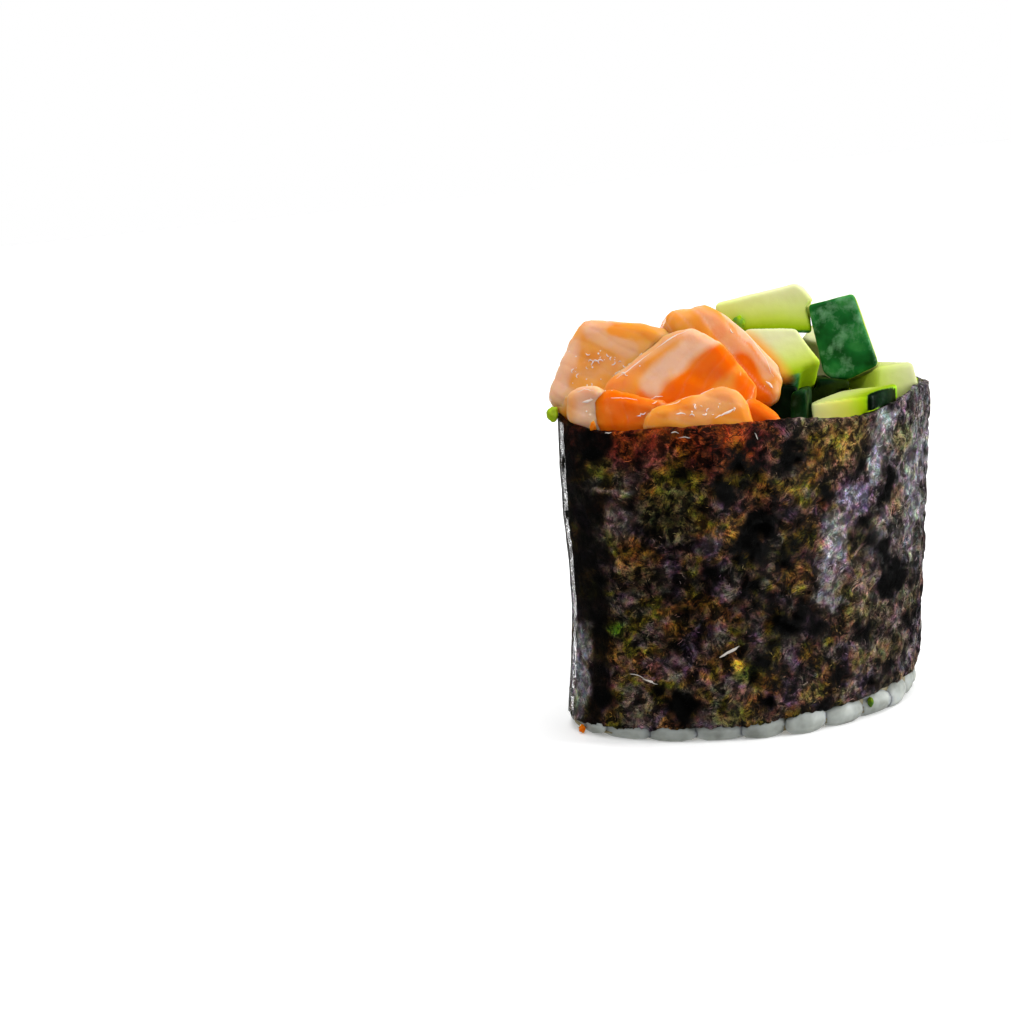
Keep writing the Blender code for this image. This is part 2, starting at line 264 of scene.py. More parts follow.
def salmon_material(colours):
    """Raw salmon, knife-cut and wet: translucent orange muscle with pale fat bands, under a thin film of juice."""
    material, tree, shader = new_material("raw_salmon_knife_cut_wet")
    place = add(tree, "ShaderNodeTexCoord").outputs["Object"]
    fat = add(tree, "ShaderNodeAttribute", attribute_name="fat").outputs["Fac"]
    tone = add(tree, "ShaderNodeAttribute", attribute_name="tone").outputs["Fac"]
    mottle = add(tree, "ShaderNodeTexNoise", {"Vector": place, "Scale": 420, "Detail": 4, "Roughness": 0.6})
    fine = add(tree, "ShaderNodeTexNoise", {"Vector": place, "Scale": 1600, "Detail": 3, "Roughness": 0.6})
    jitter = add(tree, "ShaderNodeMath", {0: mottle.outputs["Fac"], 1: 0.5}, operation="SUBTRACT")
    toned = add(
        tree, "ShaderNodeMath", {0: jitter.outputs[0], 1: 0.3, 2: tone}, operation="MULTIPLY_ADD", use_clamp=True
    )
    muscle = add(
        tree,
        "ShaderNodeValToRGB",
        {"Fac": toned.outputs[0]},
        stops=((0.0, colours.flesh_pale), (0.4, colours.flesh_mid), (1.0, colours.flesh_deep)),
    )
    ragged = add(tree, "ShaderNodeMath", {0: jitter.outputs[0], 1: 1.4, 2: 1.0}, operation="MULTIPLY_ADD")
    streak = add(tree, "ShaderNodeMath", {0: ragged.outputs[0], 1: fat}, operation="MULTIPLY", use_clamp=True)
    banded = add(tree, "ShaderNodeMix", {0: streak.outputs[0], 6: muscle.outputs[0]}, data_type="RGBA")
    banded.inputs[7].default_value = colours.flesh_pale
    tree.links.new(banded.outputs[2], shader.inputs["Base Color"])
    wet = add(tree, "ShaderNodeAttribute", attribute_name="wet").outputs["Fac"]
    film = add(tree, "ShaderNodeTexNoise", {"Vector": place, "Scale": 1500, "Detail": 2, "Roughness": 0.5})
    grain = add(tree, "ShaderNodeBump", {"Height": fine.outputs["Fac"], "Strength": 0.35, "Distance": 0.1 * MM})
    beaded = add(
        tree,
        "ShaderNodeBump",
        {"Height": film.outputs["Fac"], "Strength": 0.8, "Distance": 0.3 * MM, "Normal": grain.outputs[0]},
    )
    soaked = add(tree, "ShaderNodeMath", {0: wet, 1: 0.75, 2: 0.2}, operation="MULTIPLY_ADD")
    tree.links.new(soaked.outputs[0], shader.inputs["Coat Weight"])
    tree.links.new(grain.outputs[0], shader.inputs["Normal"])
    tree.links.new(beaded.outputs[0], shader.inputs["Coat Normal"])
    shader.inputs["Roughness"].default_value = 0.4
    shader.inputs["IOR"].default_value = 1.38
    shader.inputs["Specular IOR Level"].default_value = 0.05
    shader.inputs["Subsurface Weight"].default_value = 0.85
    shader.inputs["Subsurface Radius"].default_value = (1.0, 0.45, 0.12)
    shader.inputs["Subsurface Scale"].default_value = 3.0 * MM
    shader.inputs["Coat Roughness"].default_value = 0.06
    shader.inputs["Coat IOR"].default_value = 1.4
    return material


def cucumber_material(colours, sizes):
    """Fresh cucumber, knife-cut: thin dark waxy peel, a bright green band under it, and pale wet flesh, its colour
    scaled by each piece's painted light and shade.
    """
    material, tree, shader = new_material("fresh_cucumber_knife_cut")
    place = add(tree, "ShaderNodeTexCoord").outputs["Object"]
    under = add(tree, "ShaderNodeAttribute", attribute_name="under_skin").outputs["Fac"]
    cloud = add(tree, "ShaderNodeTexNoise", {"Vector": place, "Scale": 260, "Detail": 3, "Roughness": 0.5})
    speck = add(tree, "ShaderNodeTexNoise", {"Vector": place, "Scale": 900, "Detail": 4, "Roughness": 0.65})
    wobble = add(tree, "ShaderNodeMath", {0: cloud.outputs["Fac"], 1: 0.5}, operation="SUBTRACT")
    depth = add(tree, "ShaderNodeMath", {0: wobble.outputs[0], 1: 1.2, 2: under}, operation="MULTIPLY_ADD")
    scaled = add(tree, "ShaderNodeMath", {0: depth.outputs[0], 1: 0.1}, operation="MULTIPLY", use_clamp=True)
    flesh = add(
        tree,
        "ShaderNodeValToRGB",
        {"Fac": scaled.outputs[0]},
        stops=(
            (0.05, linear("#84AA08")),
            (0.12, colours.flesh_green),
            (0.25, linear("#BCD04A")),
            (0.45, colours.flesh_light),
            (0.8, linear("#D8DAA6")),
        ),
    )
    edge = add(tree, "ShaderNodeMath", {0: speck.outputs["Fac"], 1: 0.5}, operation="SUBTRACT")
    peel = add(tree, "ShaderNodeMath", {0: edge.outputs[0], 1: 0.35, 2: under}, operation="MULTIPLY_ADD")
    thickness = sizes.skin_depth / MM
    mask = add(
        tree,
        "ShaderNodeMapRange",
        {"Value": peel.outputs[0], "From Min": thickness * 0.7, "From Max": thickness * 1.4},
    )
    skin = add(
        tree,
        "ShaderNodeValToRGB",
        {"Fac": cloud.outputs["Fac"]},
        stops=((0.32, linear("#0A4012")), (0.5, colours.skin_dark), (0.66, linear("#3C8A44"))),
    )
    both = add(
        tree,
        "ShaderNodeMix",
        {0: mask.outputs[0], 6: skin.outputs[0], 7: flesh.outputs[0]},
        data_type="RGBA",
    )
    # Pale patches on the peel: partly its waxy bloom, partly a painted sheen.
    bloom_and_sheen = add(tree, "ShaderNodeTexNoise", {"Vector": place, "Scale": 480, "Detail": 6, "Roughness": 0.65})
    waxy = add(tree, "ShaderNodeMapRange", {"Value": bloom_and_sheen.outputs["Fac"], "From Min": 0.5, "From Max": 0.8})
    bloom_and_sheen_on_peel = add(tree, "ShaderNodeMix", {0: mask.outputs[0], 2: waxy.outputs[0], 3: 0.0}, data_type="FLOAT")
    with_bloom_and_sheen = add(tree, "ShaderNodeMix", {0: bloom_and_sheen_on_peel.outputs[0], 6: both.outputs[2]}, data_type="RGBA")
    with_bloom_and_sheen.inputs[7].default_value = linear("#7CAE86")
    stain = add(tree, "ShaderNodeAttribute", attribute_name="stain").outputs["Fac"]
    stained = add(tree, "ShaderNodeMix", {0: stain, 6: with_bloom_and_sheen.outputs[2]}, data_type="RGBA")
    stained.inputs[7].default_value = linear("#E8A03C")
    # Painted light and shade: the colour is scaled by each piece's light number. Pieces in the dark hollow come out
    # near black, and faces that catch the light come out brighter.
    shade = add(tree, "ShaderNodeAttribute", attribute_name="light").outputs["Fac"]
    tint = add(tree, "ShaderNodeVectorMath", {0: stained.outputs[2]}, operation="SCALE")
    tree.links.new(shade, tint.inputs["Scale"])
    tree.links.new(tint.outputs[0], shader.inputs["Base Color"])
    bumps = add(tree, "ShaderNodeBump", {"Height": speck.outputs["Fac"], "Strength": 0.25, "Distance": 0.15 * MM})
    tree.links.new(bumps.outputs[0], shader.inputs["Normal"])
    shader.inputs["Roughness"].default_value = 0.42
    shader.inputs["IOR"].default_value = 1.36
    shader.inputs["Specular IOR Level"].default_value = 0.12
    shader.inputs["Subsurface Weight"].default_value = 0.3
    shader.inputs["Subsurface Radius"].default_value = (0.6, 0.8, 0.3)
    shader.inputs["Subsurface Scale"].default_value = 1.2 * MM
    return material


def rice_material(name, colour, low, high):
    """Steamed short-grain rice: moist, translucent and slightly sticky, with a milky core."""
    material, tree, shader = new_material(name)
    place = add(tree, "ShaderNodeTexCoord").outputs["Object"]
    cloud = add(tree, "ShaderNodeTexNoise", {"Vector": place, "Scale": 350, "Detail": 3, "Roughness": 0.5})
    tint = add(
        tree,
        "ShaderNodeValToRGB",
        {"Fac": cloud.outputs["Fac"]},
        stops=((0.35, linear(low)), (0.5, colour), (0.66, linear(high))),
    )
    tree.links.new(tint.outputs[0], shader.inputs["Base Color"])
    bumps = add(tree, "ShaderNodeBump", {"Height": cloud.outputs["Fac"], "Strength": 0.15, "Distance": 0.3 * MM})
    tree.links.new(bumps.outputs[0], shader.inputs["Normal"])
    shader.inputs["Roughness"].default_value = 0.45
    shader.inputs["IOR"].default_value = 1.38
    shader.inputs["Specular IOR Level"].default_value = 0.2
    shader.inputs["Subsurface Weight"].default_value = 0.9
    shader.inputs["Subsurface Radius"].default_value = (1.0, 0.95, 0.8)
    shader.inputs["Subsurface Scale"].default_value = 2.0 * MM
    return material


def nori_material(colours):
    """Dried laver pressed into a sheet: tufts of streaky fibres over near-black hollows, satin where it is dense, with
    a painted sheen added to its colour.
    """
    material, tree, shader = new_material("pressed_laver_sheet")
    cloud = add(tree, "ShaderNodeAttribute", attribute_name="colour").outputs["Color"]
    mat = add(tree, "ShaderNodeAttribute", attribute_name="mat").outputs["Fac"]
    sheen = add(tree, "ShaderNodeAttribute", attribute_name="sheen").outputs["Fac"]
    both = 0.0
    for number in range(len(MAT_LAYERS)):
        place = add(tree, "ShaderNodeAttribute", attribute_name=f"streak_{number}").outputs["Vector"]
        strength = add(tree, "ShaderNodeAttribute", attribute_name=f"strength_{number}").outputs["Fac"]
        source = add(tree, "ShaderNodeTexNoise", {"Vector": place, "Scale": 1.0, "Detail": 3, "Roughness": 0.6, "Distortion": 1.1})
        body = add(tree, "ShaderNodeMapRange", {"Value": source.outputs["Fac"], "From Min": 0.42, "From Max": 0.64})
        off = add(tree, "ShaderNodeMath", {0: source.outputs["Fac"], 1: 0.52}, operation="SUBTRACT")
        width = add(tree, "ShaderNodeMath", {0: off.outputs[0]}, operation="ABSOLUTE")
        hair = add(tree, "ShaderNodeMapRange", {"Value": width.outputs[0], "From Max": 0.03, "To Min": 1.0, "To Max": 0})
        line = add(tree, "ShaderNodeMath", {0: body.outputs[0], 1: 0.8, 2: hair.outputs[0]}, operation="MULTIPLY_ADD")
        lit = add(tree, "ShaderNodeMath", {0: line.outputs[0], 1: strength}, operation="MULTIPLY")
        both = add(tree, "ShaderNodeMath", {0: lit.outputs[0], 1: both}, operation="MAXIMUM").outputs[0]
    place = add(tree, "ShaderNodeTexCoord").outputs["Object"]
    veins = 0.0
    for scale, thin, weight in ((900, 0.045, 1.0), (2200, 0.07, 0.6)):
        source = add(
            tree,
            "ShaderNodeTexNoise",
            {"Vector": place, "Scale": scale, "Detail": 3, "Roughness": 0.55, "Distortion": 1.4},
        )
        off = add(tree, "ShaderNodeMath", {0: source.outputs["Fac"], 1: 0.5}, operation="SUBTRACT")
        width = add(tree, "ShaderNodeMath", {0: off.outputs[0]}, operation="ABSOLUTE")
        vein = add(tree, "ShaderNodeMapRange", {"Value": width.outputs[0], "From Max": thin, "To Min": weight, "To Max": 0})
        veins = add(tree, "ShaderNodeMath", {0: vein.outputs[0], 1: veins}, operation="MAXIMUM").outputs[0]
    clump = add(tree, "ShaderNodeTexNoise", {"Vector": place, "Scale": 700, "Detail": 4, "Roughness": 0.65, "Distortion": 0.6})
    gaps = add(tree, "ShaderNodeMapRange", {"Value": clump.outputs["Fac"], "From Min": 0.43, "From Max": 0.58})
    fill = add(tree, "ShaderNodeMath", {0: gaps.outputs[0], 1: 1.32, 2: 0.1}, operation="MULTIPLY_ADD")
    crinkle = add(tree, "ShaderNodeMath", {0: both, 1: 0.4}, operation="ADD")
    vein = add(tree, "ShaderNodeMath", {0: crinkle.outputs[0], 1: veins}, operation="MULTIPLY")
    body = add(tree, "ShaderNodeMath", {0: both, 1: 4.3, 2: 0.04}, operation="MULTIPLY_ADD")
    grown = add(tree, "ShaderNodeMath", {0: vein.outputs[0], 1: 2.6, 2: body.outputs[0]}, operation="MULTIPLY_ADD")
    broken = add(tree, "ShaderNodeMath", {0: grown.outputs[0], 1: fill.outputs[0]}, operation="MULTIPLY")
    # Painted sheen: the sheen number brightens the colour itself, as well as giving the coat its gloss.
    shade = add(tree, "ShaderNodeMath", {0: sheen, 1: 0.65, 2: broken.outputs[0]}, operation="MULTIPLY_ADD")
    amount = add(tree, "ShaderNodeMath", {0: shade.outputs[0], 1: mat}, operation="MULTIPLY")
    fleck = add(tree, "ShaderNodeTexNoise", {"Vector": place, "Scale": 1000, "Detail": 2, "Roughness": 0.6})
    hue = add(tree, "ShaderNodeVectorMath", {0: fleck.outputs["Color"], 1: (1.35, 1.45, 1.35)}, operation="MULTIPLY")
    shift = add(tree, "ShaderNodeVectorMath", {0: hue.outputs[0], 1: (0.34, 0.26, 0.3)}, operation="ADD")
    flecked = add(tree, "ShaderNodeVectorMath", {0: shift.outputs[0], 1: (0.1, 0.1, 0.1)}, operation="MAXIMUM")
    coloured = add(tree, "ShaderNodeVectorMath", {0: cloud, 1: flecked.outputs[0]}, operation="MULTIPLY")
    tint = add(tree, "ShaderNodeVectorMath", {0: coloured.outputs[0]}, operation="SCALE")
    tree.links.new(amount.outputs[0], tint.inputs["Scale"])
    whole = add(tree, "ShaderNodeVectorMath", {0: tint.outputs[0], 1: colours.nori_dark[:3]}, operation="ADD")
    tree.links.new(whole.outputs[0], shader.inputs["Base Color"])
    relief = add(tree, "ShaderNodeMath", {0: veins, 1: 0.5, 2: both}, operation="MULTIPLY_ADD")
    crumple = add(
        tree, "ShaderNodeTexNoise", {"Vector": place, "Scale": 430, "Detail": 4, "Roughness": 0.6, "Distortion": 0.8}
    )
    folds = add(tree, "ShaderNodeBump", {"Height": crumple.outputs["Fac"], "Strength": 0.9, "Distance": 1.6 * MM})
    bumps = add(
        tree,
        "ShaderNodeBump",
        {"Height": relief.outputs[0], "Strength": 1.0, "Distance": 0.3 * MM, "Normal": folds.outputs[0]},
    )
    tree.links.new(bumps.outputs[0], shader.inputs["Normal"])
    tree.links.new(bumps.outputs[0], shader.inputs["Coat Normal"])
    dense = add(tree, "ShaderNodeMath", {0: vein.outputs[0], 1: 1.5, 2: 0.14}, operation="MULTIPLY_ADD")
    satin = add(tree, "ShaderNodeMath", {0: dense.outputs[0], 1: sheen}, operation="MULTIPLY", use_clamp=True)
    tree.links.new(satin.outputs[0], shader.inputs["Coat Weight"])
    shader.inputs["Coat Roughness"].default_value = 0.14
    shader.inputs["Coat IOR"].default_value = 1.5
    shader.inputs["Roughness"].default_value = 0.55
    shader.inputs["IOR"].default_value = 1.45
    shader.inputs["Specular IOR Level"].default_value = 0.08
    return material


# Rice ----------------------------------------------------------------------------------------------------------


def outline_at(node_name, height, count):
    """The solid's outline at a height, as points found by looking in from outside."""
    obj = merged_copy(node_name, "outline_probe")
    bm = bmesh.new()
    bm.from_mesh(obj.data)
    tree = BVHTree.FromBMesh(bm)
    bm.free()
    bpy.data.objects.remove(obj)
    low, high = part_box(node_name)
    middle = (low + high) / 2
    reach = (high - low).length
    points = []
    for i in range(count):
        turn = 2 * math.pi * i / count
        outward = Vector((math.cos(turn), math.sin(turn), 0))
        start = Vector((middle.x, middle.y, height)) + outward * reach
        points.append(tree.ray_cast(start, -outward)[0])
    return points


def grain_mesh(sizes):
    """One cooked grain: a blunt ellipsoid with a slight bow."""
    bm = bmesh.new()
    bmesh.ops.create_uvsphere(bm, u_segments=12, v_segments=8, radius=1)
    half = Vector((sizes.grain_width / 2, sizes.grain_width * 0.36, sizes.grain_length / 2))
    for vert in bm.verts:
        blunt = 1 + 0.12 * (1 - abs(vert.co.z))
        vert.co = Vector((vert.co.x * half.x * blunt, vert.co.y * half.y * blunt, vert.co.z * half.z))
        vert.co.x += 0.25 * MM * (vert.co.z / half.z) ** 2
    bmesh.ops.rotate(bm, verts=bm.verts, matrix=Matrix.Rotation(math.pi / 2, 3, "Y"))
    mesh = bpy.data.meshes.new("rice_grain")
    bm.to_mesh(mesh)
    bm.free()
    return link(bpy.data.objects.new("rice_grain", mesh))


def grain_tree(material, grain):
    """Lays grains along a line of points: spacing, wander and turn are inputs."""
    tree = bpy.data.node_groups.new("grains_along_line", "GeometryNodeTree")
    face = tree.interface
    face.new_socket(name="Line", in_out="INPUT", socket_type="NodeSocketGeometry")
    for name, value in (("Spacing", 4.0 * MM), ("Wander", 0.4 * MM), ("Tilt", 0.3)):
        face.new_socket(name=name, in_out="INPUT", socket_type="NodeSocketFloat").default_value = value
    face.new_socket(name="Seed", in_out="INPUT", socket_type="NodeSocketInt")
    face.new_socket(name="Grains", in_out="OUTPUT", socket_type="NodeSocketGeometry")
    given = add(tree, "NodeGroupInput").outputs
    curve = add(tree, "GeometryNodeMeshToCurve", {"Mesh": given["Line"]})
    even = add(tree, "GeometryNodeResampleCurve", {"Curve": curve.outputs[0], "Length": given["Spacing"]}, mode="LENGTH")
    tangent = add(tree, "GeometryNodeInputTangent")
    aligned = add(tree, "FunctionNodeAlignRotationToVector", {"Vector": tangent.outputs[0]}, axis="X")
    turn = add(
        tree,
        "FunctionNodeRandomValue",
        {"Min": (-0.2, -0.4, -1.0), "Max": (0.2, 0.4, 1.0), "Seed": given["Seed"]},
        data_type="FLOAT_VECTOR",
    )
    tilt = add(tree, "ShaderNodeVectorMath", {0: turn.outputs[0]}, operation="MULTIPLY")
    parts = add(tree, "ShaderNodeCombineXYZ", {0: 1.0, 1: given["Tilt"], 2: given["Tilt"]})
    tree.links.new(parts.outputs[0], tilt.inputs[1])
    turned = add(tree, "FunctionNodeEulerToRotation", {0: tilt.outputs[0]})
    both = add(
        tree,
        "FunctionNodeRotateRotation",
        {"Rotation": aligned.outputs[0], "Rotate By": turned.outputs[0]},
        rotation_space="LOCAL",
    )
    shape = add(tree, "GeometryNodeObjectInfo", {"Object": grain})
    size = add(
        tree,
        "FunctionNodeRandomValue",
        {"Min": (0.8, 0.88, 0.88), "Max": (1.1, 1.12, 1.1), "Seed": given["Seed"]},
        data_type="FLOAT_VECTOR",
    )
    laid = add(
        tree,
        "GeometryNodeInstanceOnPoints",
        {
            "Points": even.outputs[0],
            "Instance": shape.outputs["Geometry"],
            "Rotation": both.outputs[0],
            "Scale": size.outputs[0],
        },
    )
    wander = add(
        tree,
        "FunctionNodeRandomValue",
        {"Min": (-1, -1, -0.5), "Max": (1, 1, 0.5), "Seed": given["Seed"]},
        data_type="FLOAT_VECTOR",
    )
    offset = add(tree, "ShaderNodeVectorMath", {0: wander.outputs[0]}, operation="SCALE")
    tree.links.new(given["Wander"], offset.inputs["Scale"])
    moved = add(
        tree, "GeometryNodeTranslateInstances", {"Instances": laid.outputs[0], "Translation": offset.outputs[0]}
    )
    moved.inputs["Local Space"].default_value = False
    real = add(tree, "GeometryNodeRealizeInstances", {"Geometry": moved.outputs[0]})
    done = add(tree, "GeometryNodeSetMaterial", {"Geometry": real.outputs[0], "Material": material})
    add(tree, "NodeGroupOutput", {"Grains": done.outputs[0]})
    return tree


def run_tree(name, mesh, tree, values):
    """Runs a Geometry Nodes tree on a mesh, with its inputs set by name, and keeps the plain result."""
    obj = link(bpy.data.objects.new(name, mesh))
    modifier = obj.modifiers.new(tree.name, "NODES")
    modifier.node_group = tree
    for item in tree.interface.items_tree:
        if item.item_type == "SOCKET" and item.in_out == "INPUT" and item.name in values:
            modifier[item.identifier] = values[item.name]
    return apply_modifiers(obj)


def rings_mesh(name, rings):
    """Closed rings of points, joined along each ring by edges alone."""
    points, edges = [], []
    for ring in rings:
        start, count = len(points), len(ring)
        edges += [(start + i, start + (i + 1) % count) for i in range(count)]
        points += ring
    mesh = bpy.data.meshes.new(name)
    mesh.from_pydata(points, edges, [])
    return mesh


def moved_in(outline, inset):
    """An outline drawn in towards its middle by the same length all round."""
    middle = sum(outline, Vector()) / len(outline)
    return [point + (middle - point).normalized() * inset for point in outline]


def rings_on_top(core, outline, insets):
    """Rings that lie a little above the core's top, one for each inset from the outline."""
    bm = bmesh.new()
    bm.from_mesh(core.data)
    tree = BVHTree.FromBMesh(bm)
    bm.free()
    down = Vector((0, 0, -1))
    rings = []
    for inset in insets:
        above = [Vector((point.x, point.y, 60 * MM)) for point in moved_in(outline, inset)]
        rings.append([tree.ray_cast(point, down)[0] + Vector((0, 0, 0.45 * MM)) for point in above])
    return rings


class SUSHI_OT_lay_rice(bpy.types.Operator):
    """Packs the rice: a core inside the solid, and loose grains round the foot and over the top"""

    bl_idname = "sushi.lay_rice"
    bl_label = "Lay rice"

    def execute(self, context):
        sizes = context.scene.sushi_sizes
        colours = context.scene.sushi_colours
        # Painted shade: the grains round the foot take a darker grey, as in the shade under the roll. Those on top are
        # the same rice in a lighter colour.
        grains = rice_material("steamed_rice_grains_in_painted_shade", colours.rice_in_painted_shade, "#90948E", "#B8BDB8")
        lighter_top_grains = rice_material("steamed_rice_grains_on_top", linear("#C9CCC4"), "#B4B8B0", "#DADCD4")
        starch = rice_material("steamed_rice_starch", colours.rice_gap, "#766C50", "#A49B80")
        core = merged_copy("rice", "rice_core")
        shrink = core.modifiers.new("shrink", "DISPLACE")
        shrink.strength = -0.35 * MM
        shrink.mid_level = 0
        core = apply_modifiers(core)
        outline = outline_at("rice", 1.2 * MM, 120)
        foot = [Vector((point.x, point.y, 1.45 * MM)) for point in moved_in(outline, 1.05 * MM)]
        behind = [Vector((point.x, point.y, 2.8 * MM)) for point in moved_in(outline, 2.3 * MM)]
        top = rings_on_top(core, outline_at("rice", 32 * MM, 90), [inset * MM for inset in (2.4, 5.0, 7.6, 10.2, 12.6)])
        finish_piece(core, starch, ["rice"])
        grain = grain_mesh(sizes)
        rows = (
            ("foot", grains, [foot], 5.9 * MM, 0.3 * MM, 0.12, 3),
            ("foot_gaps", grains, [behind], 5.2 * MM, 0.3 * MM, 0.3, 8),
            ("top", lighter_top_grains, top, 4.4 * MM, 0.7 * MM, 0.8, 5),
        )
        for name, material, rings, spacing, wander, tilt, seed in rows:
            tree = grain_tree(material, grain)
            values = {"Spacing": spacing, "Wander": wander, "Tilt": tilt, "Seed": seed}
            obj = run_tree("rice_grains_" + name, rings_mesh(name, rings), tree, values)
            co = coordinates(obj.data)
            co[:, 2] = np.maximum(co[:, 2], 0.02 * MM)
            move_vertices(obj.data, co)
            finish_piece(obj, material)
        bpy.data.objects.remove(grain)
        return {"FINISHED"}


# Nori ----------------------------------------------------------------------------------------------------------

SHEET_COLUMNS = 600
SHEET_ROWS = 150
INNER_ROWS = 4
LAP_TURN = math.radians(90)


class Patch(NamedTuple):
    """A place on the sheet that differs: how far right and how high it lies, its width and height, all in mm, its
    colour, how much more mat grows there, and how much painted sheen it adds.
    """

    right: float
    height: float
    wide: float
    tall: float
    code: str = ""
    mat: float = 0.0
    sheen: float = 0.0


class Layer(NamedTuple):
    """A layer of the mat: its tufts' length, width and slant, and the length and width of its fibres, in mm."""

    tuft: float
    breadth: float
    slant: float
    length: float
    width: float


MAT_LAYERS = (
    Layer(6.0, 2.4, 52, 1.6, 0.36),
    Layer(4.6, 2.0, 118, 1.2, 0.3),
    Layer(3.4, 1.6, 12, 0.9, 0.26),
)
# Patches with a sheen, and the grey ones on the right and low at the left end, are painted sheen and reflection. The
# others are the laver's own colours, and those with less mat are its near-black voids.
PATCHES = (
    Patch(-19.6, 34.4, 1.5, 1.4, "#8C8A2C", 0.9),
    Patch(-17.2, 14.0, 1.5, 1.1, "#5E9A1A", 1.2),
    Patch(-10.0, 29.6, 4.6, 4.0, "#726A2A", 0.4),
    Patch(-17.0, 27.6, 2.2, 3.4, "#7E6E68", 0.8, 0.5),
    Patch(-17.4, 31.6, 2.4, 0.5, "#9A8E8A", 0.9, 0.9),
    Patch(-14.5, 21.0, 3.5, 2.6, "#5A4C34", 0.4),
    Patch(-0.6, 26.0, 2.8, 3.4, "", -1.0),
    Patch(-4.6, 32.4, 2.2, 1.2, "", -0.7),
    Patch(0.6, 31.0, 3.4, 2.6, "#6C4028", 0.4),
    Patch(4.4, 36.6, 2.4, 1.8, "", -1.2),
    Patch(-5.4, 35.0, 3.0, 2.4, "#6A3418", 0.3),
    Patch(10.0, 36.6, 4.8, 3.2, "#86701A", 0.45),
    Patch(12.6, 29.4, 2.6, 2.2, "#7A5A74", 0.6),
    Patch(16.2, 38.0, 1.5, 2.6, "#9698A0", 0.9, 0.9),
    Patch(15.4, 33.4, 1.3, 3.2, "#9698A0", 0.9, 0.9),
    Patch(12.2, 29.2, 2.2, 1.6, "#8C88A0", 0.7, 0.8),
    Patch(10.2, 25.4, 1.7, 3.4, "#8E8E94", 0.8, 0.9),
    Patch(9.4, 19.6, 2.0, 4.2, "#85848C", 0.7, 0.8),
    Patch(20.8, 29.0, 1.7, 10.0, "#8E8E94", 1.0, 1.0),
    Patch(18.0, 27.0, 1.4, 2.4, "#7A6236", 0.5),
    Patch(18.8, 35.0, 1.3, 2.4, "#7A7430", 0.5),
    Patch(17.0, 30.0, 0.7, 3.2, "", -1.3),
    Patch(-2.4, 9.8, 1.3, 1.0, "#B8861A", 1.2),
    Patch(-1.0, 8.6, 1.6, 1.2, "#6E7A18", 0.7),
    Patch(17.6, 17.6, 2.4, 3.0, "", -1.1),
    Patch(13.6, 13.0, 2.0, 2.6, "", -0.8),
    Patch(-8.4, 5.2, 2.2, 1.6, "", -0.9),
    Patch(8.4, 5.0, 2.6, 1.4, "#80681A", 0.9),
    Patch(17.6, 8.2, 2.4, 2.0, "#64561A", 0.6),
    Patch(-2.0, 3.4, 3.0, 1.0, "#6E6C1A", 0.8),
    Patch(-12.0, 10.0, 3.0, 1.4, "#5A3E46", 0.5),
    Patch(-21.6, 6.0, 1.6, 5.0, "#8A8C92", 0.7, 0.9),
    Patch(-20.6, 11.5, 1.0, 3.0, "#7A7C82", 0.5, 0.9),
    Patch(-22.6, 15.0, 0.7, 5.0, "#8A8C92", 0.5, 0.9),
)


def even_turns(count):
    """Turns round the roll that lie evenly along its outline, in radians, starting at the strip's lap."""
    low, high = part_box("nori")
    outline = outline_at("nori", (low.z + high.z) / 2, 720)
    start = round(LAP_TURN / (2 * math.pi) * len(outline))
    outline = outline[start:] + outline[:start]
    steps = [(outline[i] - outline[i - 1]).length for i in range(len(outline))]
    along = np.cumsum(steps)
    angles = np.unwrap([math.atan2(p.y, p.x) for p in outline])
    return np.interp(np.arange(count) / count * along[-1], along - along[0], angles)


def strip_edge(tree, outward, reach, inside, outside):
    """The height where the strip ends on one side of the roll, halved in on between a hit and a miss."""
    for _ in range(11):
        middle = (inside + outside) / 2
        hit = tree.ray_cast(outward * reach + Vector((0, 0, middle)), -outward, reach)[0]
        if hit:
            inside = middle
        else:
            outside = middle
    return inside


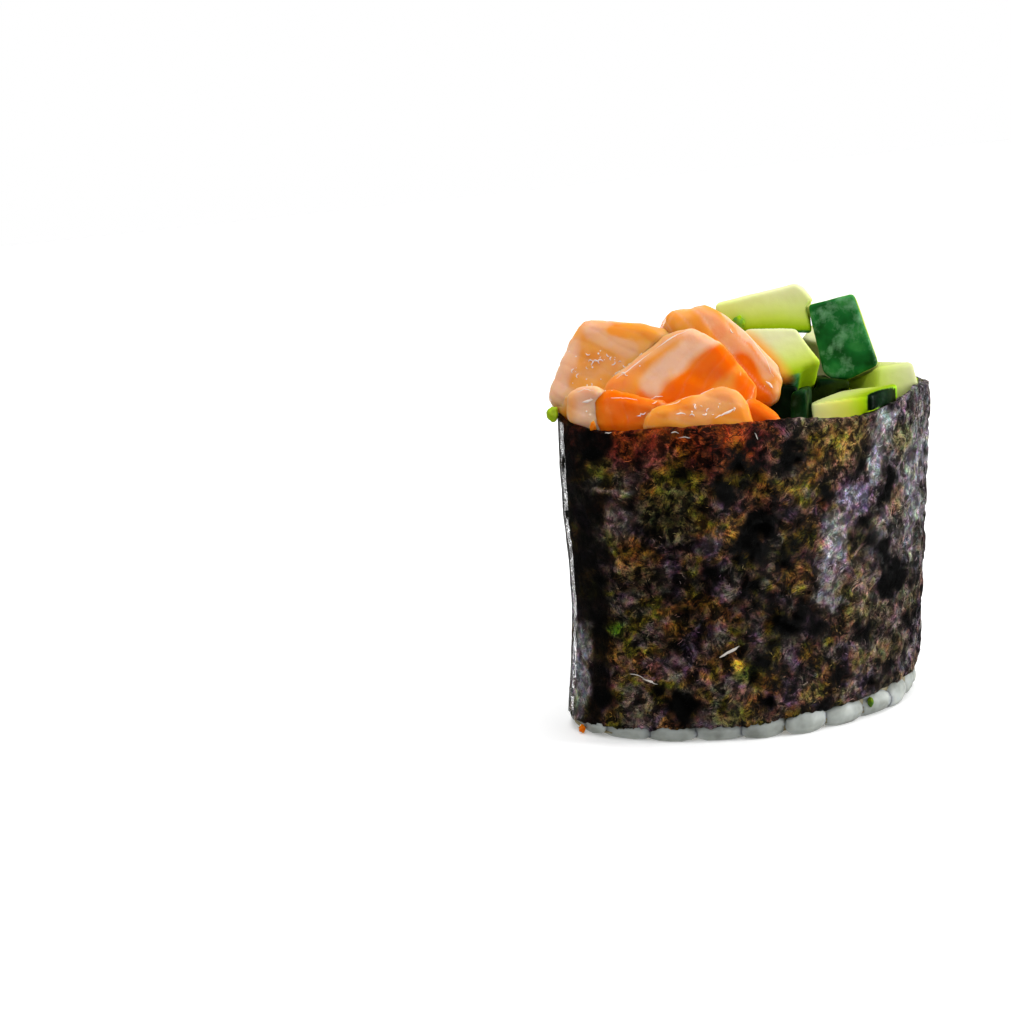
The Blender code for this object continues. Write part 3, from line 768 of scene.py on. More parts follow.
def sheet_mesh():
    """The strip as a fine closed sheet: its outer face in a regular grid, its inner face coarser."""
    probe = merged_copy("nori", "sheet_probe")
    bm = bmesh.new()
    bm.from_mesh(probe.data)
    tree = BVHTree.FromBMesh(bm)
    bm.free()
    bpy.data.objects.remove(probe)
    low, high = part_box("nori")
    middle, reach = (low.z + high.z) / 2, 60 * MM
    outer, inner = [], []
    for turn in even_turns(SHEET_COLUMNS):
        outward = Vector((math.cos(turn), math.sin(turn), 0))
        foot = strip_edge(tree, outward, reach, middle, low.z - MM)
        rim = strip_edge(tree, outward, reach, middle, high.z + MM)
        for row in range(SHEET_ROWS + 1):
            height = foot + (rim - foot) * row / SHEET_ROWS
            outer.append(tree.ray_cast(outward * reach + Vector((0, 0, height)), -outward)[0])
        for row in range(INNER_ROWS + 1):
            height = rim + (foot - rim) * row / INNER_ROWS
            inner.append(tree.ray_cast(Vector((0, 0, height)), outward)[0])
    per_column = SHEET_ROWS + INNER_ROWS + 2
    points = []
    for i in range(SHEET_COLUMNS):
        points += outer[i * (SHEET_ROWS + 1) : (i + 1) * (SHEET_ROWS + 1)]
        points += inner[i * (INNER_ROWS + 1) : (i + 1) * (INNER_ROWS + 1)]
    faces = []
    for i in range(SHEET_COLUMNS):
        a, b = i * per_column, (i + 1) % SHEET_COLUMNS * per_column
        for j in range(per_column):
            k = (j + 1) % per_column
            faces.append((a + j, b + j, b + k, a + k))
    mesh = bpy.data.meshes.new("nori_strip")
    mesh.from_pydata(points, [], faces)
    outside = np.zeros((SHEET_COLUMNS, per_column))
    outside[:, : SHEET_ROWS + 1] = 1
    belt = np.array([outer[i * (SHEET_ROWS + 1) + SHEET_ROWS // 2] for i in range(SHEET_COLUMNS)])
    around = np.linalg.norm(belt - np.roll(belt, 1, axis=0), axis=1).sum()
    along = np.repeat(np.arange(SHEET_COLUMNS) * around / SHEET_COLUMNS, per_column)
    ahead = np.roll(belt, -1, axis=0) - np.roll(belt, 1, axis=0)
    ahead /= np.linalg.norm(ahead, axis=1)[:, None]
    return mesh, outside.ravel(), along, np.repeat(ahead, per_column, axis=0)


def cell_random(column, row, seed):
    """Four steady random numbers from 0 to 1 for each cell of a jittered grid."""
    turns = column * 12.9898 + row * 78.233 + seed * 37.719
    return np.stack([np.modf(np.abs(np.sin(turns + 1.7 * i)) * 43758.5453)[0] for i in range(4)], axis=1)


def tufts(x, y, layer, seed):
    """Sorts places into long tufts that lie on a slant: the place within its tuft, the gap to its edge, its luck."""
    slant = math.radians(layer.slant)
    long = (x * math.cos(slant) + y * math.sin(slant)) / (layer.tuft * MM)
    wide = (y * math.cos(slant) - x * math.sin(slant)) / (layer.breadth * MM)
    column, row = np.floor(long), np.floor(wide)
    best = np.full(len(x), np.inf)
    second = best.copy()
    local = np.zeros((len(x), 2))
    luck = np.zeros((len(x), 4))
    for side in (-1, 0, 1):
        for above in (-1, 0, 1):
            random = cell_random(column + side, row + above, seed)
            a = long - (column + side + 0.1 + 0.8 * random[:, 0])
            b = wide - (row + above + 0.1 + 0.8 * random[:, 1])
            distance = np.hypot(a, b)
            nearer = distance < best
            second = np.where(nearer, best, np.minimum(second, distance))
            best = np.where(nearer, distance, best)
            local[nearer] = np.stack([a * layer.tuft * MM, b * layer.breadth * MM], axis=1)[nearer]
            luck[nearer] = cell_random(column + side, row + above, seed + 7)[nearer]
    return local, second - best, luck


def streak_places(local, swing, layer, slice_at):
    """Turns places within tufts into places on a streaky pattern: long the way the fibres run, bent a little."""
    x = local[:, 0] * np.cos(swing) + local[:, 1] * np.sin(swing)
    y = local[:, 1] * np.cos(swing) - local[:, 0] * np.sin(swing)
    y = y + 0.06 * x * x / MM
    return np.stack([x / (layer.length * MM), y / (layer.width * MM), slice_at * 40], axis=1)


class Sheet:
    """What grows on each point of the sheet: its relief in metres, mat, sheen, streaks and colour. The sheen is partly
    gloss and partly a painted sheen, and a smooth band at the left end is painted near black as a dark reflection.
    """

    def __init__(self, co, normals, along, sizes):
        warp = np.stack([rough(co, 2.4 * MM, 30 + axis) for axis in range(2)], axis=1)
        self.away = co @ np.array(heap_direction(1, 0, 0)) / MM
        self.height = co[:, 2] / MM
        self.front = (normals @ np.array(heap_direction(0, -1, 0)) > 0.05) * 1.0
        # A smooth band round the left end, painted near black as a dark reflection: less relief, almost no mat, and a
        # glossy coat.
        self.calm_and_painted_dark = 1 - smooth_step(self.away + 1.3 * warp[:, 1], -18.6, -17.2)
        x = along + 0.9 * MM * warp[:, 0]
        y = co[:, 2] + 0.9 * MM * warp[:, 1]
        self.relief = rough(co * (1, 1, 0.6), 7.0 * MM, 44) + 0.5 * rough(co * (1, 1, 0.8), 2.9 * MM, 45)
        self.relief *= sizes.nori_wrinkle * (1 - 0.75 * self.calm_and_painted_dark)
        self.streaks = []
        self.strengths = []
        lucky = []
        angles = []
        for seed, layer in enumerate(MAT_LAYERS):
            local, gap, luck = tufts(x, y, layer, seed + 1)
            swing = math.radians(70) * (luck[:, 0] - 0.5) + 0.5 * rough(co, 5.0 * MM, seed + 70)
            self.streaks.append(streak_places(local, swing, layer, luck[:, 3]))
            fade = smooth_step(gap, 0, 0.5)
            self.strengths.append(fade * (0.25 + 0.75 * luck[:, 3] ** 1.5))
            lean = ((luck[:, 1:3] - 0.5) * local).sum(1)
            self.relief += (sizes.nori_fibre * lean + 0.08 * MM * luck[:, 3]) * fade * (1 - 0.9 * self.calm_and_painted_dark)
            lucky.append(luck)
            angles.append(math.radians(layer.slant) + swing)
        top = np.argmax(np.stack(self.strengths), axis=0)
        self.angle = np.choose(top, angles)
        self.relief *= 0.35 + 0.65 * smooth_step(RIM - co[:, 2], 0, 2 * MM) * smooth_step(co[:, 2], 2 * MM, 5 * MM)
        self.hue = rough(co, 3.8 * MM, 50) + 0.6 * rough(co, 1.5 * MM, 54) + 0.4 * (lucky[1][:, 0] - 0.5)
        self.other = rough(co, 3.4 * MM, 52) + 0.6 * rough(co, 1.3 * MM, 55) + 0.4 * (lucky[2][:, 2] - 0.5)
        grown = rough(co, 4.2 * MM, 40) + 0.7 * rough(co, 1.7 * MM, 41) + 0.25 * (lucky[0][:, 1] - 0.5)
        # Painted sheen: grey bands slant down to the left on the right side and grow weaker lower down, with faint
        # patches all round, where the light from the right grazes the sheet.
        slanted = self.away - 0.55 * (self.height - 20)
        bands = rough(np.stack([slanted * MM, co[:, 2] * 0.25, co[:, 1] * 0.3], axis=1), 2.6 * MM, 60)
        self.sheen = smooth_step(bands + 0.4 * warp[:, 0], 0.0, 0.5) * smooth_step(self.away, 6, 17) * 0.9
        self.sheen *= 0.35 + 0.65 * smooth_step(self.height, 14, 30)
        self.sheen += smooth_step(rough(co * (1, 1, 0.4), 4.0 * MM, 61), 0.0, 0.5) * 0.45
        self.colour = self.colours(co)
        for patch in PATCHES:
            part = self.inside(patch)
            grown = grown + 0.75 * patch.mat * part
            self.sheen += patch.sheen * part
            if patch.code:
                self.colour = blend(self.colour, patch.code, 0.6 * part)
                self.calm_and_painted_dark = self.calm_and_painted_dark * (1 - 0.8 * part)
        luck = sum(part[:, 1] for part in lucky) / len(lucky) - 0.5
        # The left band keeps almost no mat, so its colour is painted near black.
        self.mat = smooth_step(grown, -0.75, 0.45) * (1 + 1.3 * luck) * (1 - 0.93 * self.calm_and_painted_dark)
        self.sheen = np.clip(self.sheen * (1 - self.calm_and_painted_dark) + 0.7 * self.calm_and_painted_dark, 0, 1.4)

    def inside(self, patch):
        """How far each point is inside a ragged patch on the side that faces the viewer."""
        across = (self.away - patch.right) / patch.wide
        rise = (self.height - patch.height) / patch.tall
        reach = np.hypot(across, rise) + 0.45 * self.other + 0.25 * self.hue
        return (1 - smooth_step(reach, 0.45, 1.25)) * self.front

    def colours(self, co):
        """The colour of the mat at each point: brown, olive, purple and grey tufts, a painted red-brown reflection of
        the salmon near the rim, and a painted grey sheen on the right.
        """
        colour = np.tile(np.array(linear("#644A3C")[:3]), (len(co), 1))
        colour = blend(colour, "#6C601C", smooth_step(self.hue, 0.05, 0.35))
        colour = blend(colour, "#4C3A4C", smooth_step(-self.hue, 0.1, 0.4) * 0.9)
        colour = blend(colour, "#74501C", smooth_step(self.other, 0.15, 0.45) * 0.8)
        colour = blend(colour, "#665C56", smooth_step(-self.other, 0.15, 0.45) * 0.8)
        # Painted reflection: the salmon's red-brown shows just under the rim, left of the middle.
        below = (RIM - co[:, 2]) / MM
        painted_salmon_reflection = 1 - smooth_step(below + 1.5 * self.hue, 1.5, 8.0)
        colour = blend(colour, "#822C0A", painted_salmon_reflection * (1 - smooth_step(self.away, -2, 6)) * 0.85)
        # Painted sheen: grey over the right side, most of it higher up, where the light from the right grazes the
        # sheet.
        grey = smooth_step(self.away + 4 * self.other, 9, 19) * (0.4 + 0.35 * smooth_step(self.height, 10, 26))
        colour = blend(colour, "#6E6A70", grey)
        return colour


def blend(base, code, amount):
    """Mixes a colour into an array of colours."""
    return base + (np.array(linear(code)[:3]) - base) * amount[:, None]


def paint_places(mesh, name, places):
    """Stores one vector a vertex, which a material reads by name."""
    layer = mesh.attributes.new(name, "FLOAT_VECTOR", "POINT")
    layer.data.foreach_set("vector", places.astype(np.float32).ravel())


def paint_colour(mesh, name, colour):
    """Stores one linear colour a vertex, which a material reads by name."""
    layer = mesh.attributes.new(name, "FLOAT_COLOR", "POINT")
    whole = np.ones((len(colour), 4), np.float32)
    whole[:, :3] = colour
    layer.data.foreach_set("color", whole.ravel())


def curl_mesh(name, length, bend, radius, segments=6):
    """One fibre of laver: a thin three-sided thread lying in a flat curl, pointed at both ends."""
    points, faces = [], []
    at, heading = Vector((0, 0, 0)), 0.0
    for i in range(segments + 1):
        part = i / segments
        side = Vector((-math.sin(heading), math.cos(heading), 0))
        thick = radius * (0.25 + 0.75 * math.sin(math.pi * part))
        lift = Vector((0, 0, 0.6 * radius + 0.04 * length * math.sin(math.pi * part)))
        for corner in range(3):
            angle = 2 * math.pi * corner / 3
            points.append(at + lift + side * thick * math.cos(angle) + Vector((0, 0, thick * math.sin(angle))))
        at = at + Vector((math.cos(heading), math.sin(heading), 0)) * length / segments
        heading += math.radians(bend) / segments * (0.4 + 1.2 * part)
    for i in range(segments):
        for corner in range(3):
            after = (corner + 1) % 3
            faces.append((3 * i + corner, 3 * i + 3 + corner, 3 * i + 3 + after, 3 * i + after))
    faces += [(0, 1, 2), (3 * segments + 2, 3 * segments + 1, 3 * segments)]
    middle = sum(points, Vector()) / len(points)
    mesh = bpy.data.meshes.new(name)
    mesh.from_pydata([p - Vector((middle.x, middle.y, 0)) for p in points], [], faces)
    return link(bpy.data.objects.new(name, mesh))


def scatter_tree(name, shape, material):
    """Scatters a shape over a surface, lying flat on it along its painted flow; how densely is painted too."""
    tree = bpy.data.node_groups.new(name, "GeometryNodeTree")
    face = tree.interface
    face.new_socket(name="Surface", in_out="INPUT", socket_type="NodeSocketGeometry")
    for item, value in (("Density", 1.0e6), ("Smallest", 0.6), ("Largest", 1.3), ("Tilt", 0.2), ("Swing", 0.6)):
        face.new_socket(name=item, in_out="INPUT", socket_type="NodeSocketFloat").default_value = value
    face.new_socket(name="Seed", in_out="INPUT", socket_type="NodeSocketInt")
    face.new_socket(name="Scattered", in_out="OUTPUT", socket_type="NodeSocketGeometry")
    given = add(tree, "NodeGroupInput").outputs
    cover = add(tree, "GeometryNodeInputNamedAttribute", {"Name": "cover"}, data_type="FLOAT")
    density = add(tree, "ShaderNodeMath", {0: given["Density"], 1: cover.outputs[0]}, operation="MULTIPLY")
    spots = add(
        tree,
        "GeometryNodeDistributePointsOnFaces",
        {"Mesh": given["Surface"], "Density": density.outputs[0], "Seed": given["Seed"]},
    )
    tilt = add(tree, "ShaderNodeMath", {0: given["Tilt"], 1: -1.0}, operation="MULTIPLY")
    back = add(tree, "ShaderNodeMath", {0: given["Swing"], 1: -1.0}, operation="MULTIPLY")
    low = add(tree, "ShaderNodeCombineXYZ", {0: tilt.outputs[0], 1: tilt.outputs[0], 2: back.outputs[0]})
    high = add(tree, "ShaderNodeCombineXYZ", {0: given["Tilt"], 1: given["Tilt"], 2: given["Swing"]})
    flow = add(tree, "GeometryNodeInputNamedAttribute", {"Name": "flow"}, data_type="FLOAT_VECTOR")
    combed = add(
        tree,
        "FunctionNodeAlignRotationToVector",
        {"Rotation": spots.outputs["Rotation"], "Vector": flow.outputs[0]},
        axis="X",
        pivot_axis="Z",
    )
    angles = add(
        tree,
        "FunctionNodeRandomValue",
        {"Min": low.outputs[0], "Max": high.outputs[0], "Seed": given["Seed"]},
        data_type="FLOAT_VECTOR",
    )
    turn = add(tree, "FunctionNodeEulerToRotation", {0: angles.outputs[0]})
    laid = add(
        tree,
        "FunctionNodeRotateRotation",
        {"Rotation": combed.outputs[0], "Rotate By": turn.outputs[0]},
        rotation_space="LOCAL",
    )
    size = add(
        tree,
        "FunctionNodeRandomValue",
        {2: given["Smallest"], 3: given["Largest"], "Seed": given["Seed"]},
        data_type="FLOAT",
    )
    source = add(tree, "GeometryNodeObjectInfo", {"Object": shape})
    placed = add(
        tree,
        "GeometryNodeInstanceOnPoints",
        {
            "Points": spots.outputs["Points"],
            "Instance": source.outputs["Geometry"],
            "Rotation": laid.outputs[0],
            "Scale": size.outputs[1],
        },
    )
    shade = add(tree, "FunctionNodeRandomValue", {"Seed": given["Seed"]}, data_type="FLOAT")
    marked = add(
        tree,
        "GeometryNodeStoreNamedAttribute",
        {"Geometry": placed.outputs[0], "Name": "shade", "Value": shade.outputs[1]},
        data_type="FLOAT",
        domain="INSTANCE",
    )
    real = add(tree, "GeometryNodeRealizeInstances", {"Geometry": marked.outputs[0]})
    done = add(tree, "GeometryNodeSetMaterial", {"Geometry": real.outputs[0], "Material": material})
    add(tree, "NodeGroupOutput", {"Scattered": done.outputs[0]})
    return tree


def fibre_material():
    """Loose laver fibres: thin, dry and slightly glossy threads in the colour of the mat they stand on, made brighter
    at random and a few of them up to five times. The brightening is partly lighter fibres and partly painted glints.
    """
    material, tree, shader = new_material("loose_laver_fibres")
    mat = add(tree, "ShaderNodeAttribute", attribute_name="colour").outputs["Color"]
    shade = add(tree, "ShaderNodeAttribute", attribute_name="shade").outputs["Fac"]
    # Painted glints: a few fibres at random are made several times brighter than the mat.
    rare_painted_glint = add(tree, "ShaderNodeMath", {0: shade, 1: 3.0}, operation="POWER")
    light = add(tree, "ShaderNodeMapRange", {"Value": rare_painted_glint.outputs[0], "To Min": 0.6, "To Max": 5.0})
    tint = add(tree, "ShaderNodeVectorMath", {0: mat}, operation="SCALE")
    tree.links.new(light.outputs[0], tint.inputs["Scale"])
    tree.links.new(tint.outputs[0], shader.inputs["Base Color"])
    shader.inputs["Roughness"].default_value = 0.4
    shader.inputs["IOR"].default_value = 1.45
    shader.inputs["Specular IOR Level"].default_value = 0.4
    return material


class SUSHI_OT_wind_nori(bpy.types.Operator):
    """Makes the wound strip of nori, wrinkled and matted, from its solid"""

    bl_idname = "sushi.wind_nori"
    bl_label = "Wind nori"

    def execute(self, context):
        sizes = context.scene.sushi_sizes
        mesh, outside, along, ahead = sheet_mesh()
        obj = link(bpy.data.objects.new("nori_strip", mesh))
        co = coordinates(mesh)
        normals = vertex_normals(mesh)
        sheet = Sheet(co, normals, along, sizes)
        outward = normals * (1, 1, 0)
        outward /= np.maximum(np.linalg.norm(outward, axis=1), 0.1)[:, None]
        most = np.where(sheet.relief > 0, 0.38 * MM, 0.55 * MM)
        relief = most * np.tanh(sheet.relief / most)
        moved = co + outward * np.where(outside > 0, relief, 0.3 * MM)[:, None]
        frayed = rough(co, 1.3 * MM, 80) + 0.6 * rough(co, 0.6 * MM, 81)
        at_foot = 1 - smooth_step(co[:, 2], 3 * MM, 5 * MM)
        lifted = smooth_step(sheet.away, 0, 8) * sheet.front
        at_rim = smooth_step(co[:, 2], RIM - 3 * MM, RIM - MM)
        moved[:, 2] += MM * ((0.35 * frayed + 0.45 * lifted) * at_foot + 0.18 * (frayed - 0.5) * at_rim)
        move_vertices(mesh, moved)
        paint_colour(mesh, "colour", sheet.colour)
        paint(mesh, "mat", sheet.mat)
        paint(mesh, "sheen", sheet.sheen)
        paint(mesh, "cover", outside * smooth_step(sheet.mat, 0.1, 0.6))
        flow = ahead * np.cos(sheet.angle)[:, None] + np.outer(np.sin(sheet.angle), (0, 0, 1))
        paint_places(mesh, "flow", flow)
        for number, (streaks, strength) in enumerate(zip(sheet.streaks, sheet.strengths)):
            paint_places(mesh, f"streak_{number}", streaks)
            paint(mesh, f"strength_{number}", strength)
        fibres = fibre_material()
        for name, length, bend, density, swing, seed in (
            ("nori_fibres_long", 0.9 * MM, 80, 0.05e6, 1.2, 5),
            ("nori_fibres_short", 0.36 * MM, 70, 1.3e6, 2.2, 6),
        ):
            curl = curl_mesh(name + "_shape", length, bend, 0.024 * MM, segments=4)
            tree = scatter_tree(name, curl, fibres)
            values = {"Density": density, "Tilt": 0.1, "Swing": swing, "Seed": seed}
            piece = run_tree(name, mesh.copy(), tree, values)
            bpy.data.objects.remove(curl)
            finish_piece(piece, fibres)
        finish_piece(obj, nori_material(context.scene.sushi_colours), ["nori"])
        return {"FINISHED"}


# Salmon --------------------------------------------------------------------------------------------------------


class Band(NamedTuple):
    """A band of fat through a piece: a point on it, the direction across it, its half width and its bend."""

    at: tuple
    across: tuple
    half: float
    bend: float = 0.0
    taper: tuple = (0.0, 0.0, 0.0)


class Spot(NamedTuple):
    """A soft place in a piece: where it lies in the heap, its reach, the fat and colour it adds, and its far end."""

    at: tuple
    reach: float
    fat: float = 0.0
    tone: float = 0.0
    to: tuple = ()


class Flesh(NamedTuple):
    """One piece of salmon: how deep its colour is, its bands and spots, its flakes' direction and strength."""

    tone: float
    bands: tuple = ()
    spots: tuple = ()
    flakes: tuple = (1, 0.3, 0.6)
    grain: float = 0.12


SALMON = {
    "salmon_long_slab": Flesh(
        0.5,
        (Band((-1.2, -5, 8.4), (0.74, 0, 0.67), 0.3), Band((0.2, -5, 7.4), (0.76, 0, 0.65), 0.45)),
        (
            Spot((-6.8, -4, 11.2), 1.3, 0.5, 0.0, (1.6, -6, 4.0)),
            Spot((-8.8, -4, 10.6), 1.8, 0.35, -0.1),
            Spot((-4.4, -5, 8.8), 1.2, -0.1, 0.3),
            Spot((-1.6, -5, 4.6), 2.0, -0.9, 0.7, (0.6, -6, 0.8)),
            Spot((2.9, -6, 2.2), 0.7, 0.3, 0.0, (2.6, -6, 0.6)),
        ),
        (0.76, 0.2, 0.65), 0.4),
    "salmon_centre": Flesh(
        0.5,
        (),
        (
            Spot((-5.8, -8, 8.4), 2.3, 1.0, -0.2, (-12.4, -11, 3.4)),
            Spot((-4.4, -9, 6.0), 2.6, -1.1, 0.6, (-9.4, -12, 2.4)),
            Spot((-14.6, -10, 4.9), 1.6, 0.1, 0.1, (-17.4, -11, 3.2)),
            Spot((-16.4, -10, 4.6), 1.0, 0.5, 0.0, (-8.6, -7, 9.6)),
            Spot((-11.8, -12, 1.4), 1.5, -0.2, 0.4, (-13.6, -12, 2.0)),
            Spot((-0.8, -12, 3.8), 2.2, -0.4, 0.5),
            Spot((-7.6, -7.5, 9.2), 1.3, 0.5),
        ),
        (0.75, 0, -0.6), 0.06),
    "salmon_front_right": Flesh(
        0.58,
        (),
        (
            Spot((-6.4, -16, 2.0), 1.9, 0.3, -0.1, (-3.0, -15, 2.6)),
            Spot((-10.2, -17, 0.8), 1.0, 0.2, 0.0, (-6.4, -17, 0.4)),
            Spot((-0.6, -15, 0.6), 1.0, -0.3, 0.4),
            Spot((-11.6, -15, 1.6), 1.6, -0.1, 0.35),
        ),
        (0.3, 0, 1), 0.1),
    "salmon_back_left": Flesh(
        0.36,
        (),
        (
            Spot((-24.8, -7.6, 1.8), 2.0, 0.8, -0.1, (-22.6, -6, 8.8)),
            Spot((-21.8, -5, 10.0), 1.7, 0.65, 0.0, (-17.0, -4, 10.6)),
            Spot((-19.9, -4.7, 8.4), 1.3, 0.6, 0.0, (-15.4, -7, 6.9)),
            Spot((-17.0, -5, 9.2), 1.2, -0.5, 0.12, (-12.4, -6.5, 8.4)),
            Spot((-21.0, -7.1, 4.8), 2.6, -0.2, 0.06, (-16.6, -8.5, 4.0)),
            Spot((-23.6, -9, 2.0), 1.6, 0.6),
        ),
        (0.5, 0.3, 0.8), 0.1),
    "salmon_front_left": Flesh(0.95, (), (Spot((-11.4, -15, -0.4), 1.6, 0.0, 0.2),), (1, 0, 0.2), 0.04),
    "salmon_pale_flake": Flesh(
        0.2,
        (Band((-20.5, -13, 1.5), (1, 0, 0), 1.6),),
        (Spot((-18.4, -13.4, 2.0), 1.2, -1.0, 0.75, (-18.2, -14.6, -0.6)),),
        (0.2, 0, 1)),
    "salmon_wedge": Flesh(1.0, (), (), (0.6, 0, 0.8), 0.05),
    "salmon_left_tip": Flesh(0.6, (), (Spot((-24.5, -10, 1.6), 1.8, 0.5),), (0.3, 0, 1)),
    "salmon_back_low": Flesh(0.6, (Band((-11, 3, 3), (0.8, 0.2, 0.5), 0.9),), (), (0.8, 0.2, 0.5)),
    "salmon_back_right": Flesh(0.7, (Band((-4, 6, 3), (-0.6, 0.4, 0.6), 0.9),), (), (-0.6, 0.4, 0.6)),
}


def gap_to(co, place, far_end=()):
    """How far each point is, in millimetres, from a place in the heap or from the line to its far end."""
    start = np.array(heap_point(*place)) / MM
    along = np.array(heap_point(*far_end)) / MM - start if far_end else np.zeros(3)
    off = co / MM - start
    part = np.clip(off @ along / max(along @ along, 1e-9), 0, 1)
    return np.linalg.norm(off - np.outer(part, along), axis=1)


def banding(co, band, seed):
    """How much of a fat band there is at each point, from 0 to 1, with ragged soft borders."""
    off = (co - np.array(heap_point(*band.at))) / MM
    direction = np.array(heap_direction(*band.across))
    span = off @ direction
    run = np.linalg.norm(off - np.outer(span, direction), axis=1)
    narrowed = band.half * (1 + off @ np.array(heap_direction(*band.taper)) * 0.1) if any(band.taper) else band.half
    narrowed = np.maximum(narrowed, 0.2 * band.half)
    span = np.abs(span + band.bend * run**2 + 0.45 * rough(co, 2.2 * MM, seed)) / narrowed
    return 1 - smooth_step(span, 0.6, 1.3)


def flesh_piece(node_name, flesh, sizes, material, seed):
    """A cut of salmon: its solid remade on a fine grid, softened, flaked and painted with its fat, and with a painted
    pale glow along its thin edges.
    """
    obj = merged_copy(node_name, node_name + "_flesh")
    swell = obj.modifiers.new("swell", "DISPLACE")
    swell.mid_level = 0
    swell.strength = 0.42 * MM
    remesh = obj.modifiers.new("grid", "REMESH")
    remesh.mode = "VOXEL"
    remesh.voxel_size = sizes.flesh_voxel
    soft = obj.modifiers.new("soft", "SMOOTH")
    soft.factor = 0.5
    soft.iterations = 2
    apply_modifiers(obj)
    mesh = obj.data
    co = coordinates(mesh)
    normals = vertex_normals(mesh)
    across = np.array(heap_direction(*flesh.flakes))
    along = co @ across + 0.6 * MM * rough(co, 3.0 * MM, seed + 5)
    ridge = np.abs(np.sin(along * math.pi / sizes.flake_spacing))
    swell = rough(co, 4.0 * MM, seed) + 0.45 * rough(co, 1.7 * MM, seed + 1)
    lift = sizes.flesh_swell * swell - sizes.flake_depth * (1 - ridge) ** 3
    below = smooth_step(RIM - co[:, 2], 0.2 * MM, 1.5 * MM)
    inward = co * (-1, -1, 0) / np.maximum(np.hypot(co[:, 0], co[:, 1]), MM)[:, None]
    move_vertices(mesh, co + normals * lift[:, None] + inward * (0.6 * MM * below)[:, None])
    normals = vertex_normals(mesh)
    # Painted glow: thin edges are found by how far they stand out, to be painted paler as if light shone through them.
    edge = spread(mesh, laplacian_curvature(mesh, coordinates(mesh), normals), 1)
    edge = smooth_step(edge, 0.016 * MM, 0.045 * MM)
    fat = np.zeros(len(co))
    tone = np.full(len(co), flesh.tone) + 0.2 * rough(co, 3.5 * MM, seed + 3)
    for number, band in enumerate(flesh.bands):
        fat = np.maximum(fat, 0.85 * banding(co, band, seed + 9 + number))
    ragged = 0.16 * rough(co, 2.0 * MM, seed + 12)
    for spot in flesh.spots:
        part = 1 - smooth_step(gap_to(co, spot.at, spot.to) / spot.reach + ragged, 0.55, 1.15)
        fat += spot.fat * part
        tone += spot.tone * part
    stripes = (1 - ridge) ** 5 * flesh.grain
    # The thin edges add to the fat, which paints them paler as a painted glow.
    paint(mesh, "fat", np.clip(np.clip(fat, 0, 1) + 0.7 * edge + stripes, 0, 1))
    paint(mesh, "tone", np.clip(tone, 0, 1))
    paint(mesh, "wet", np.maximum(wetness(co), 0.8 * edge))
    return finish_piece(obj, material, [node_name])


class SUSHI_OT_cut_salmon(bpy.types.Operator):
    """Cuts every piece of salmon from its solid and paints its fat"""

    bl_idname = "sushi.cut_salmon"
    bl_label = "Cut salmon"

    def execute(self, context):
        material = salmon_material(context.scene.sushi_colours)
        for seed, (name, flesh) in enumerate(SALMON.items()):
            flesh_piece(name, flesh, context.scene.sushi_sizes, material, seed)
        return {"FINISHED"}


# Juice and crumbs ----------------------------------------------------------------------------------------------

class Wet(NamedTuple):
    """A place in the heap where juice stands: where it lies, how far it reaches and, for a streak, its far end."""

    at: tuple
    reach: float
    to: tuple = ()


WET_PLACES = (
    Wet((-20.0, -7.5, 5.2), 2.6, (-17.2, -8.2, 4.6)),
    Wet((-16.3, -7.1, 6.4), 0.7),
    Wet((-21.1, -7.9, 3.9), 0.9, (-21.3, -7.0, 5.0)),
    Wet((-22.6, -8.3, 2.5), 0.7),
    Wet((-15.6, -9.9, 5.1), 0.7, (-14.9, -9.4, 5.6)),
    Wet((-20.8, -13.0, 2.0), 0.6, (-19.9, -13.0, 2.0)),
    Wet((-21.4, -13.6, -0.1), 0.9, (-20.4, -13.8, 0.2)),
    Wet((1.7, -5.6, 2.4), 0.8),
    Wet((-4.4, -16.2, 0.8), 0.5, (-2.4, -16.0, 2.0)),
    Wet((-9.9, -16.9, 1.2), 0.5, (-8.4, -16.8, 0.9)),
    Wet((-12.4, -12.3, 1.9), 0.5, (-11.0, -12.4, 2.2)),
    Wet((-14.2, -5.9, 8.9), 0.4),
    Wet((-14.4, -9.8, 5.4), 1.1, (-16.6, -10.6, 4.0)),
    Wet((-8.6, -16.4, 1.4), 0.9, (-3.6, -16.0, 1.6)),
    Wet((-20.6, -13.6, 1.2), 1.0),
    Wet((-14.0, -15.0, 0.4), 0.9, (-12.0, -15.4, 0.6)),
    Wet((-10.2, -7.4, 8.8), 0.35, (-8.0, -6.9, 9.4)),
    Wet((-7.4, -15.0, 2.9), 0.35, (-5.6, -13.6, 3.6)),
)


def wetness(co):
    """How wet each point is, from 0 to 1."""
    wet = np.zeros(len(co))
    for place in WET_PLACES:
        wet = np.maximum(wet, 1 - smooth_step(gap_to(co, place.at, place.to) / place.reach, 0.5, 1.2))
    return wet


def bead_mesh():
    """A bead of juice: a low dome with a slightly wavy rim."""
    bm = bmesh.new()
    bmesh.ops.create_icosphere(bm, subdivisions=2, radius=1)
    for vert in bm.verts:
        wave = 1 + 0.25 * noise.noise(vert.co * 1.3)
        vert.co = Vector((vert.co.x * wave, vert.co.y * wave, vert.co.z * 0.3)) * 0.1 * MM
    mesh = bpy.data.meshes.new("juice_bead")
    bm.to_mesh(mesh)
    bm.free()
    return link(bpy.data.objects.new("juice_bead", mesh))


